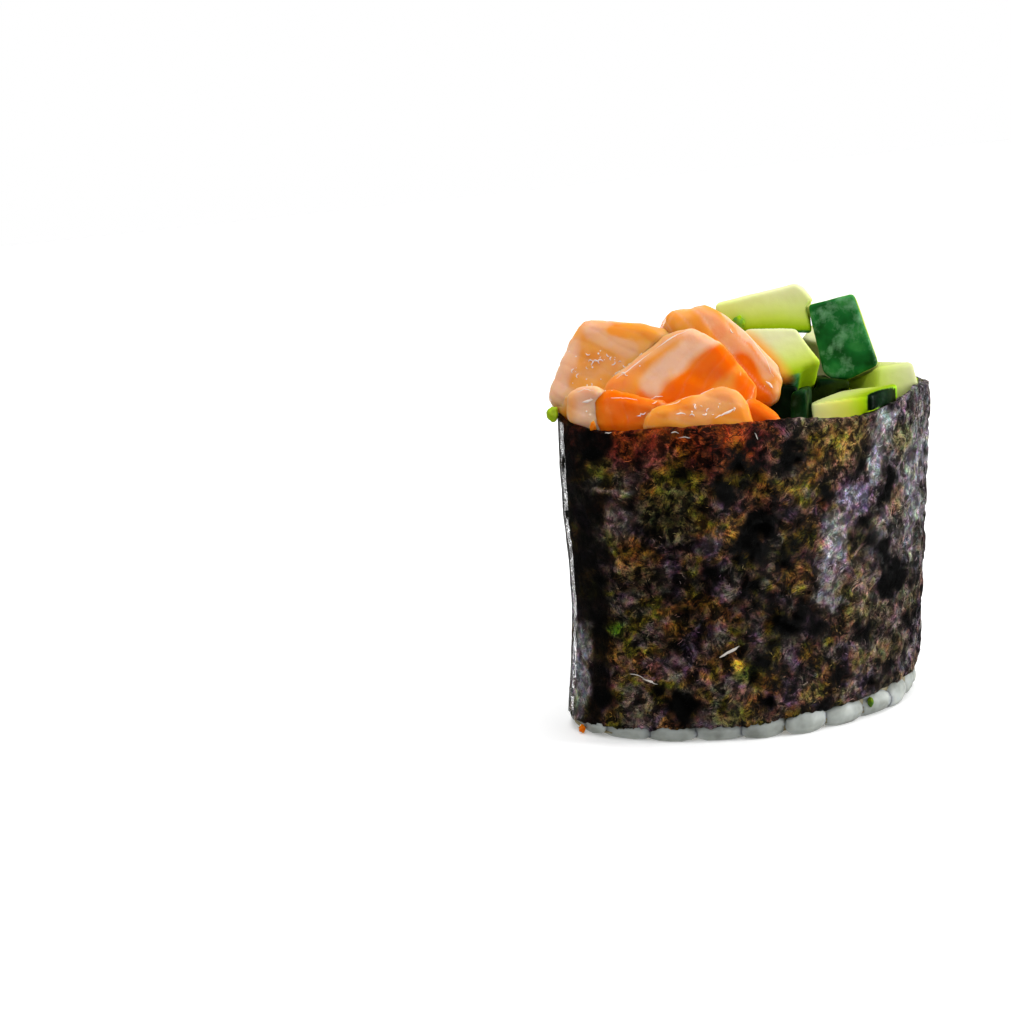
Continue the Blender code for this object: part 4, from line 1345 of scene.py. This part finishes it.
def glint_juice_material():
    """Salmon juice in thin beads, given a near-white, part-clear colour as a painted glint that shows from every side.
    """
    material, _, shader = new_material("salmon_juice_painted_as_glints")
    shader.inputs["Base Color"].default_value = linear("#FFF6EC")
    shader.inputs["Roughness"].default_value = 0.08
    shader.inputs["Alpha"].default_value = 0.72
    return material


class SUSHI_OT_bead_juice(bpy.types.Operator):
    """Stands beads and curls of juice in clusters on the salmon, painted near white as glints"""

    bl_idname = "sushi.bead_juice"
    bl_label = "Bead juice"

    def execute(self, context):
        bm = bmesh.new()
        for name in SALMON:
            bm.from_mesh(bpy.data.objects[name + "_flesh"].data)
        mesh = bpy.data.meshes.new("wet_places")
        bm.to_mesh(mesh)
        bm.free()
        co = coordinates(mesh)
        clumps = smooth_step(rough(co, 0.8 * MM, 90), -0.1, 0.3)
        speckle = 0.012 * smooth_step(rough(co, 1.4 * MM, 91), 0.2, 0.4)
        paint(mesh, "cover", wetness(co) * clumps + speckle)
        flow = np.array([noise.noise_vector(Vector(p) / (0.7 * MM)) for p in co])
        paint_places(mesh, "flow", flow)
        juice = glint_juice_material()
        curl = curl_mesh("juice_curl", 0.7 * MM, 190, 0.085 * MM)
        for name, shape, density, tilt, seed in (
            ("juice_beads", bead_mesh(), 1.6e6, 0.2, 4),
            ("juice_curls", curl, 2.0e6, 0.1, 9),
        ):
            tree = scatter_tree(name, shape, juice)
            values = {"Density": density, "Smallest": 0.5, "Largest": 1.3, "Tilt": tilt, "Swing": 3.1, "Seed": seed}
            piece = run_tree(name, mesh.copy(), tree, values)
            bpy.data.objects.remove(shape)
            finish_piece(piece, juice)
        return {"FINISHED"}


class Thread(NamedTuple):
    """A painted glint that lies on a piece as a thin run of juice or a shiny fold: points along it in the heap, its
    half width, and the piece it lies on.
    """

    points: tuple
    thick: float
    on: str = "salmon"


# Painted glints: bright lines along the top edges of the salmon, and white specks on the nori.
THREADS = (
    Thread(((-17.2, -11.0, 3.6), (-15.0, -10.0, 5.6), (-12.7, -9.0, 7.5)), 0.07, "salmon_centre"),
    Thread(((-12.4, -8.8, 7.6), (-10.2, -8.0, 9.0), (-8.2, -7.5, 9.8)), 0.09, "salmon_centre"),
    Thread(((-11.4, -16.2, 1.7), (-9.6, -15.9, 2.3), (-7.8, -15.0, 3.1)), 0.07, "salmon_front_right"),
    Thread(((-18.0, -13.8, 2.3), (-16.2, -14.0, 2.1), (-14.4, -14.2, 1.9)), 0.06, "salmon_front_left"),
    Thread(((-1.2, -3.6, 9.0), (0.9, -4.4, 5.9), (2.7, -5.0, 2.7)), 0.05, "salmon_long_slab"),
    Thread(((-22.0, -12.2, 2.6), (-20.8, -12.4, 3.1), (-19.4, -12.8, 2.9)), 0.06, "salmon_pale_flake"),
    Thread(((-6.9, -12.2, 2.4), (-6.0, -12.0, 2.8), (-5.2, -11.7, 3.2)), 0.08),
    Thread(((-5.3, -16.7, 0.4), (-4.0, -16.4, 1.0), (-2.7, -16.0, 1.6)), 0.15),
    Thread(((-12.9, -12.5, 2.0), (-12.2, -12.4, 2.2), (-11.4, -12.4, 2.2)), 0.09),
    Thread(((-12.8, -14.9, 1.9), (-12.2, -14.7, 1.9), (-11.5, -14.5, 1.9)), 0.09),
    Thread(((-21.2, -13.0, 1.7), (-20.6, -13.2, 2.0), (-20.0, -13.4, 2.2)), 0.15),
    Thread(((-10.0, -16.9, 1.0), (-9.4, -16.9, 1.2), (-8.8, -16.8, 1.0)), 0.1),
    Thread(((1.4, -5.7, 2.8), (1.9, -5.6, 2.4), (2.3, -5.6, 1.9)), 0.16),
    Thread(((-4.4, -16.9, -29.3), (-3.2, -16.7, -28.8), (-1.9, -16.4, -28.1)), 0.24, "nori"),
    Thread(((-15.4, -16.0, -31.7), (-14.4, -16.2, -31.8), (-13.4, -16.4, -32.2)), 0.1, "nori"),
    Thread(((-13.8, -16.4, -32.3), (-12.9, -16.6, -32.4), (-11.8, -16.8, -32.8)), 0.12, "nori"),
    Thread(((-18.6, -16.6, -1.0), (-18.2, -16.7, -1.3), (-17.8, -16.8, -1.0)), 0.1, "nori"),
    Thread(((-10.6, -18.3, -0.8), (-10.1, -18.3, -0.7), (-9.6, -18.3, -0.9)), 0.07, "nori"),
    Thread(((-9.8, -18.3, -1.6), (-9.0, -18.3, -1.3), (-8.2, -18.2, -1.4)), 0.08, "nori"),
    Thread(((-0.4, -17.0, -1.1), (-0.2, -17.0, -1.5), (0.0, -16.9, -2.0)), 0.07, "nori"),
)


def surface_tree(names):
    """A search tree over some finished pieces."""
    bm = bmesh.new()
    for name in names:
        bm.from_mesh(bpy.data.objects[name].data)
    tree = BVHTree.FromBMesh(bm)
    bm.free()
    return tree


def thread_rings(thread, tree, steps=12, corners=6):
    """Rings of points along a thread, each laid on the nearest surface, thin at both ends."""
    stops = [heap_point(*point) for point in thread.points]
    places = []
    for i in range(steps + 1):
        part = i / steps * (len(stops) - 1)
        low = min(int(part), len(stops) - 2)
        near = tree.find_nearest(stops[low].lerp(stops[low + 1], part - low))
        places.append((near[0], near[1], i / steps))
    rings = []
    for i, (place, normal, part) in enumerate(places):
        ahead = (places[min(i + 1, steps)][0] - places[max(i - 1, 0)][0]).normalized()
        side = ahead.cross(normal).normalized()
        wave = noise.noise(place / (0.5 * MM))
        wide = thread.thick * MM * max(math.sin(math.pi * part), 0.08) ** 0.7 * (1 + 0.6 * wave)
        middle = place + side * 0.8 * thread.thick * MM * wave
        turns = [2 * math.pi * k / corners for k in range(corners)]
        rings.append([middle + side * wide * math.cos(t) + normal * 0.5 * wide * math.sin(t) for t in turns])
    return rings


def tube(rings):
    """Points and faces of a closed tube through rings of equal size."""
    size = len(rings[0])
    points = [point for ring in rings for point in ring]
    faces = []
    for i in range(len(rings) - 1):
        for k in range(size):
            after = (k + 1) % size
            faces.append((i * size + k, i * size + after, (i + 1) * size + after, (i + 1) * size + k))
    faces.append(tuple(range(size - 1, -1, -1)))
    faces.append(tuple(range(len(points) - size, len(points))))
    return points, faces


class SUSHI_OT_run_juice(bpy.types.Operator):
    """Lays thin runs of juice and shiny folds on the salmon and the nori, painted near white as glints"""

    bl_idname = "sushi.run_juice"
    bl_label = "Run juice"

    def execute(self, context):
        juice = bpy.data.materials["salmon_juice_painted_as_glints"]
        trees = {name: surface_tree([name + "_flesh"]) for name in SALMON}
        trees["salmon"] = surface_tree(name + "_flesh" for name in SALMON)
        trees["nori"] = surface_tree(["nori_strip"])
        for slot in ("salmon", "nori"):
            points, faces = [], []
            for thread in THREADS:
                if thread.on.startswith(slot):
                    more, sides = tube(thread_rings(thread, trees[thread.on]))
                    faces += [tuple(k + len(points) for k in face) for face in sides]
                    points += more
            mesh = bpy.data.meshes.new("juice_runs_" + slot)
            mesh.from_pydata(points, [], faces)
            finish_piece(link(bpy.data.objects.new("juice_runs_" + slot, mesh)), juice)
        return {"FINISHED"}


class Crumb(NamedTuple):
    """A crumb: its food, its middle in the heap, its half sizes in millimetres, and its colour's place in the food."""

    food: str
    at: tuple
    half: tuple
    inner: float
    light: float = 1.0


CRUMBS = {
    "crumb_of_cucumber_at_rim": Crumb("cucumber", (-24.75, -9.2, -0.5), (0.75, 0.6, 0.9), 1.3),
    "crumb_of_salmon_at_foot": Crumb("salmon", (-21.1, -12.9, -39.6), (0.4, 0.4, 0.5), 1.0),
    "crumb_of_peel_at_foot": Crumb("cucumber", (15.1, -5.7, -38.2), (0.4, 0.3, 0.6), 0.6, 0.5),
    "crumb_of_peel_between": Crumb("cucumber", (-1.4, 5.2, 8.05), (0.8, 0.5, 0.85), 0.5),
    "drip_of_salmon_at_rim": Crumb("salmon", (-20.0, -15.3, -0.9), (0.38, 0.3, 0.85), 0.9),
}


class SUSHI_OT_drop_crumbs(bpy.types.Operator):
    """Drops the few crumbs of salmon and cucumber that cling to the roll"""

    bl_idname = "sushi.drop_crumbs"
    bl_label = "Drop crumbs"

    def execute(self, context):
        for seed, (name, crumb) in enumerate(CRUMBS.items()):
            bm = bmesh.new()
            bmesh.ops.create_icosphere(bm, subdivisions=4, radius=1)
            for vert in bm.verts:
                wave = 1 + 0.3 * noise.noise(vert.co * 1.6 + Vector((seed * 3.7, 0, 0)))
                vert.co = Vector([part * half * wave for part, half in zip(vert.co, crumb.half)]) * MM
            bmesh.ops.rotate(bm, verts=bm.verts, matrix=Matrix.Rotation(HEAP_TURN, 3, "Z"))
            bmesh.ops.translate(bm, verts=bm.verts, vec=heap_point(*crumb.at))
            mesh = bpy.data.meshes.new(name)
            bm.to_mesh(mesh)
            bm.free()
            co = coordinates(mesh)
            varied = crumb.inner * (1 + 0.5 * rough(co, 0.6 * MM, seed))
            paint(mesh, "fat", np.zeros(len(co)))
            paint(mesh, "wet", np.full(len(co), 0.5))
            paint(mesh, "tone", np.clip(varied, 0, 1))
            paint(mesh, "under_skin", varied)
            paint(mesh, "light", np.full(len(co), crumb.light))
            material = {"salmon": "raw_salmon_knife_cut_wet", "cucumber": "fresh_cucumber_knife_cut"}[crumb.food]
            finish_piece(link(bpy.data.objects.new(name, mesh)), bpy.data.materials[material])
        return {"FINISHED"}


# Cucumber ------------------------------------------------------------------------------------------------------

class Dice(NamedTuple):
    """A dice of cucumber: where its peel faces in the heap, how fast it pales below it, how deep its colour may go, the
    painted light and shade on the whole piece, near its peel and on its faces that look up, where its peel starts, and
    whether it is stained.
    """

    peel: tuple
    fade: float = 1.0
    deepest: float = 30.0
    # The next three numbers are painted light and shade. They scale the colour of the whole piece, of its part near the
    # peel, and of its faces that look up.
    light: float = 1.0
    painted_peel_light: float = 1.0
    painted_top_light: float = 1.0
    start: float = 0.0
    stain: bool = False


# Painted light and shade: the pieces deep in the hollow are painted near black. The front piece is painted brighter on
# its front and darker on top, and the right piece brighter near its peel.
CUCUMBER = {
    "cucumber_middle": Dice((0.45, -0.35, -0.8), 1.4, 30, 0.88, stain=True),
    "cucumber_front": Dice((0.91, -0.41, 0.05), 0.75, 30, 1.8, 0.08, 0.46),
    "cucumber_top_baton": Dice((0.25, 0.35, -1.0), 1.5, 30, 1.1),
    "cucumber_peel_block": Dice((-0.14, -1.0, 0.17), 3.0),
    "cucumber_right": Dice((-1.0, 0.0, -0.5), 0.9, 30, 0.85, 4.0, 0.9, 0.65),
    "cucumber_dark_skin": Dice((0.0, -1.0, 0.1), 1.0, 0.3, 0.05, 0.05),
    "cucumber_peel_strip": Dice((-0.2, -1.0, 0.0), 1.0, 0.35, 0.2, 0.2),
    "cucumber_back_left": Dice((-0.1, 1.0, 0.0), 2.0, 30, 0.85),
    "cucumber_back_middle": Dice((0.2, 1.0, 0.1), 1.8, 30, 0.8),
    "cucumber_back_right": Dice((0.5, 0.8, 0.0), 1.8, 30, 0.8),
    "cucumber_under_middle": Dice((0.0, -0.7, 0.7), 1.0, 0.5, 0.08, 0.08),
}


def face_direction(node_name, toward):
    """The mean direction of the solid's faces that look most nearly this way."""
    total = Vector()
    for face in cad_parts[node_name].data.polygons:
        if face.normal.dot(toward) > 0.8:
            total += face.normal * face.area
    return total.normalized() if total.length else toward


def cucumber_piece(node_name, dice, sizes, material, seed):
    """A dice of cucumber: crisp cut faces, slightly uneven, painted with how deep it lies under the peel, and with
    painted light and shade.
    """
    obj = merged_copy(node_name, node_name + "_cut")
    remesh = obj.modifiers.new("grid", "REMESH")
    remesh.mode = "VOXEL"
    remesh.voxel_size = sizes.flesh_voxel
    soft = obj.modifiers.new("soft", "SMOOTH")
    soft.factor = 0.5
    soft.iterations = 2
    apply_modifiers(obj)
    mesh = obj.data
    co = coordinates(mesh)
    side = np.array(face_direction(node_name, heap_direction(*dice.peel)))
    reach = co @ side
    under = (reach.max() - reach) / MM + dice.start
    lift = 0.09 * MM * rough(co, 3.0 * MM, seed + 20) + 0.03 * MM * rough(co, 0.8 * MM, seed + 21)
    move_vertices(mesh, co + vertex_normals(mesh) * lift[:, None])
    skin = sizes.skin_depth / MM
    pale = skin + np.maximum(under - skin, 0) * dice.fade
    paint(mesh, "under_skin", np.minimum(np.where(under < skin, under, pale), dice.deepest))
    # Painted light and shade: faces that look up and the part near the peel get their own brightness.
    up = smooth_step(vertex_normals(mesh)[:, 2], 0.3, 0.8)
    light = np.where(under < 1.2 * skin + 1.4 * dice.start, dice.painted_peel_light, dice.light)
    if dice.stain:
        stain = 1 - smooth_step(gap_to(co, (-0.8, -2.0, 8.0), (3.2, -3.6, 2.8)), 0.6, 2.4)
    else:
        stain = np.zeros(len(co))
    paint(mesh, "stain", stain)
    paint(mesh, "light", light * (1 + (dice.painted_top_light - 1) * up))
    return finish_piece(obj, material, [node_name])


class SUSHI_OT_cut_cucumber(bpy.types.Operator):
    """Cuts every piece of cucumber from its solid and paints its peel"""

    bl_idname = "sushi.cut_cucumber"
    bl_label = "Cut cucumber"

    def execute(self, context):
        sizes = context.scene.sushi_sizes
        material = cucumber_material(context.scene.sushi_colours, sizes)
        for seed, (name, dice) in enumerate(CUCUMBER.items()):
            cucumber_piece(name, dice, sizes, material, seed)
        return {"FINISHED"}


# Stage ---------------------------------------------------------------------------------------------------------


def area_light(name, place, target, width, height, power):
    light = bpy.data.lights.new(name, "AREA")
    light.shape = "RECTANGLE"
    light.size = width
    light.size_y = height
    light.energy = power
    obj = link(bpy.data.objects.new(name, light))
    obj.visible_camera = False
    obj.location = place
    obj.rotation_euler = (Vector(target) - Vector(place)).to_track_quat("-Z", "Y").to_euler()
    return obj


def view_axes():
    """The camera's right, up and back directions."""
    level = Vector((math.sin(HEAP_TURN), -math.cos(HEAP_TURN), 0))
    back = level * math.cos(VIEW_TILT) + Vector((0, 0, math.sin(VIEW_TILT)))
    right = Vector((math.cos(HEAP_TURN), math.sin(HEAP_TURN), 0))
    return right, back.cross(right), back


class SUSHI_OT_set_stage(bpy.types.Operator):
    """Sets the pale floor, the soft light and the camera"""

    bl_idname = "sushi.set_stage"
    bl_label = "Set stage"

    def execute(self, context):
        scene = context.scene
        bm = bmesh.new()
        bmesh.ops.create_grid(bm, x_segments=1, y_segments=1, size=0.34)
        mesh = bpy.data.meshes.new("floor")
        bm.to_mesh(mesh)
        bm.free()
        floor = link(bpy.data.objects.new("floor", mesh))
        floor.location.z = -0.02 * MM
        board, _, shader = new_material("white_board")
        shader.inputs["Base Color"].default_value = (0.9, 0.9, 0.9, 1)
        shader.inputs["Roughness"].default_value = 0.6
        shader.inputs["Emission Color"].default_value = (1, 1, 1, 1)
        shader.inputs["Emission Strength"].default_value = 0.2
        mesh.materials.append(board)
        floor.visible_glossy = False
        floor.visible_diffuse = False
        world = bpy.data.worlds.new("studio")
        world.use_nodes = True
        tree = world.node_tree
        ground = tree.nodes["Background"]
        ground.inputs["Color"].default_value = (1, 1, 1, 1)
        ray = add(tree, "ShaderNodeLightPath").outputs
        gloss = add(tree, "ShaderNodeMix", {0: ray["Is Glossy Ray"], 2: 0.54, 3: 0.05}, data_type="FLOAT")
        seen = add(tree, "ShaderNodeMix", {0: ray["Is Camera Ray"], 2: gloss.outputs[0], 3: 1.0}, data_type="FLOAT")
        tree.links.new(seen.outputs[0], ground.inputs["Strength"])
        scene.world = world
        right, up, back = view_axes()
        centre = Vector((0, 0, 25 * MM))
        softbox = area_light("top_softbox", centre + Vector((0, 0, 0.5)) - back * 0.1, centre, 0.4, 0.4, 1.95)
        softbox.visible_glossy = False
        area_light("right_softbox", centre + right * 0.5 + back * 0.02 + up * 0.16, centre, 0.16, 0.3, 2.6)
        area_light("left_strip", centre - right * 0.165 - back * 0.4 + up * 0.03, centre, 0.04, 0.3, 0.6)
        area_light("glint_lamp", centre - right * 0.12 + back * 0.42 + up * 0.3, centre, 0.06, 0.06, 0.55)
        camera = bpy.data.cameras.new("camera")
        camera.sensor_width = 36
        camera.lens = 168.4
        camera.clip_start = 0.01
        obj = link(bpy.data.objects.new("camera", camera))
        place = Matrix((right, up, back)).transposed().to_4x4()
        place.translation = back * VIEW_DISTANCE - right * 30.6 * MM + up * 25.1 * MM
        obj.matrix_world = place
        scene.camera = obj
        scene.view_settings.view_transform = "Standard"
        return {"FINISHED"}


# Add-on --------------------------------------------------------------------------------------------------------


class SUSHI_PT_panel(bpy.types.Panel):
    """Lists the steps that dress the sushi"""

    bl_label = "Gunkan sushi"
    bl_idname = "SUSHI_PT_panel"
    bl_space_type = "VIEW_3D"
    bl_region_type = "UI"
    bl_category = "Sushi"

    def draw(self, context):
        for step in STEPS:
            self.layout.operator(step.bl_idname)
        for group in (context.scene.sushi_sizes, context.scene.sushi_colours):
            for name in group.__annotations__:
                self.layout.prop(group, name)


STEPS = (
    SUSHI_OT_lay_rice,
    SUSHI_OT_wind_nori,
    SUSHI_OT_cut_salmon,
    SUSHI_OT_bead_juice,
    SUSHI_OT_run_juice,
    SUSHI_OT_cut_cucumber,
    SUSHI_OT_drop_crumbs,
    SUSHI_OT_set_stage,
)
CLASSES = (SushiSizes, SushiColours, SUSHI_PT_panel, *STEPS)


def register():
    for cls in CLASSES:
        bpy.utils.register_class(cls)
    bpy.types.Scene.sushi_sizes = bpy.props.PointerProperty(type=SushiSizes)
    bpy.types.Scene.sushi_colours = bpy.props.PointerProperty(type=SushiColours)


def unregister():
    del bpy.types.Scene.sushi_colours
    del bpy.types.Scene.sushi_sizes
    for cls in reversed(CLASSES):
        bpy.utils.unregister_class(cls)


def main():
    register()
    bpy.ops.sushi.lay_rice()
    bpy.ops.sushi.wind_nori()
    bpy.ops.sushi.cut_salmon()
    bpy.ops.sushi.bead_juice()
    bpy.ops.sushi.run_juice()
    bpy.ops.sushi.cut_cucumber()
    bpy.ops.sushi.drop_crumbs()
    bpy.ops.sushi.set_stage()


if __name__ == "__main__":
    main()
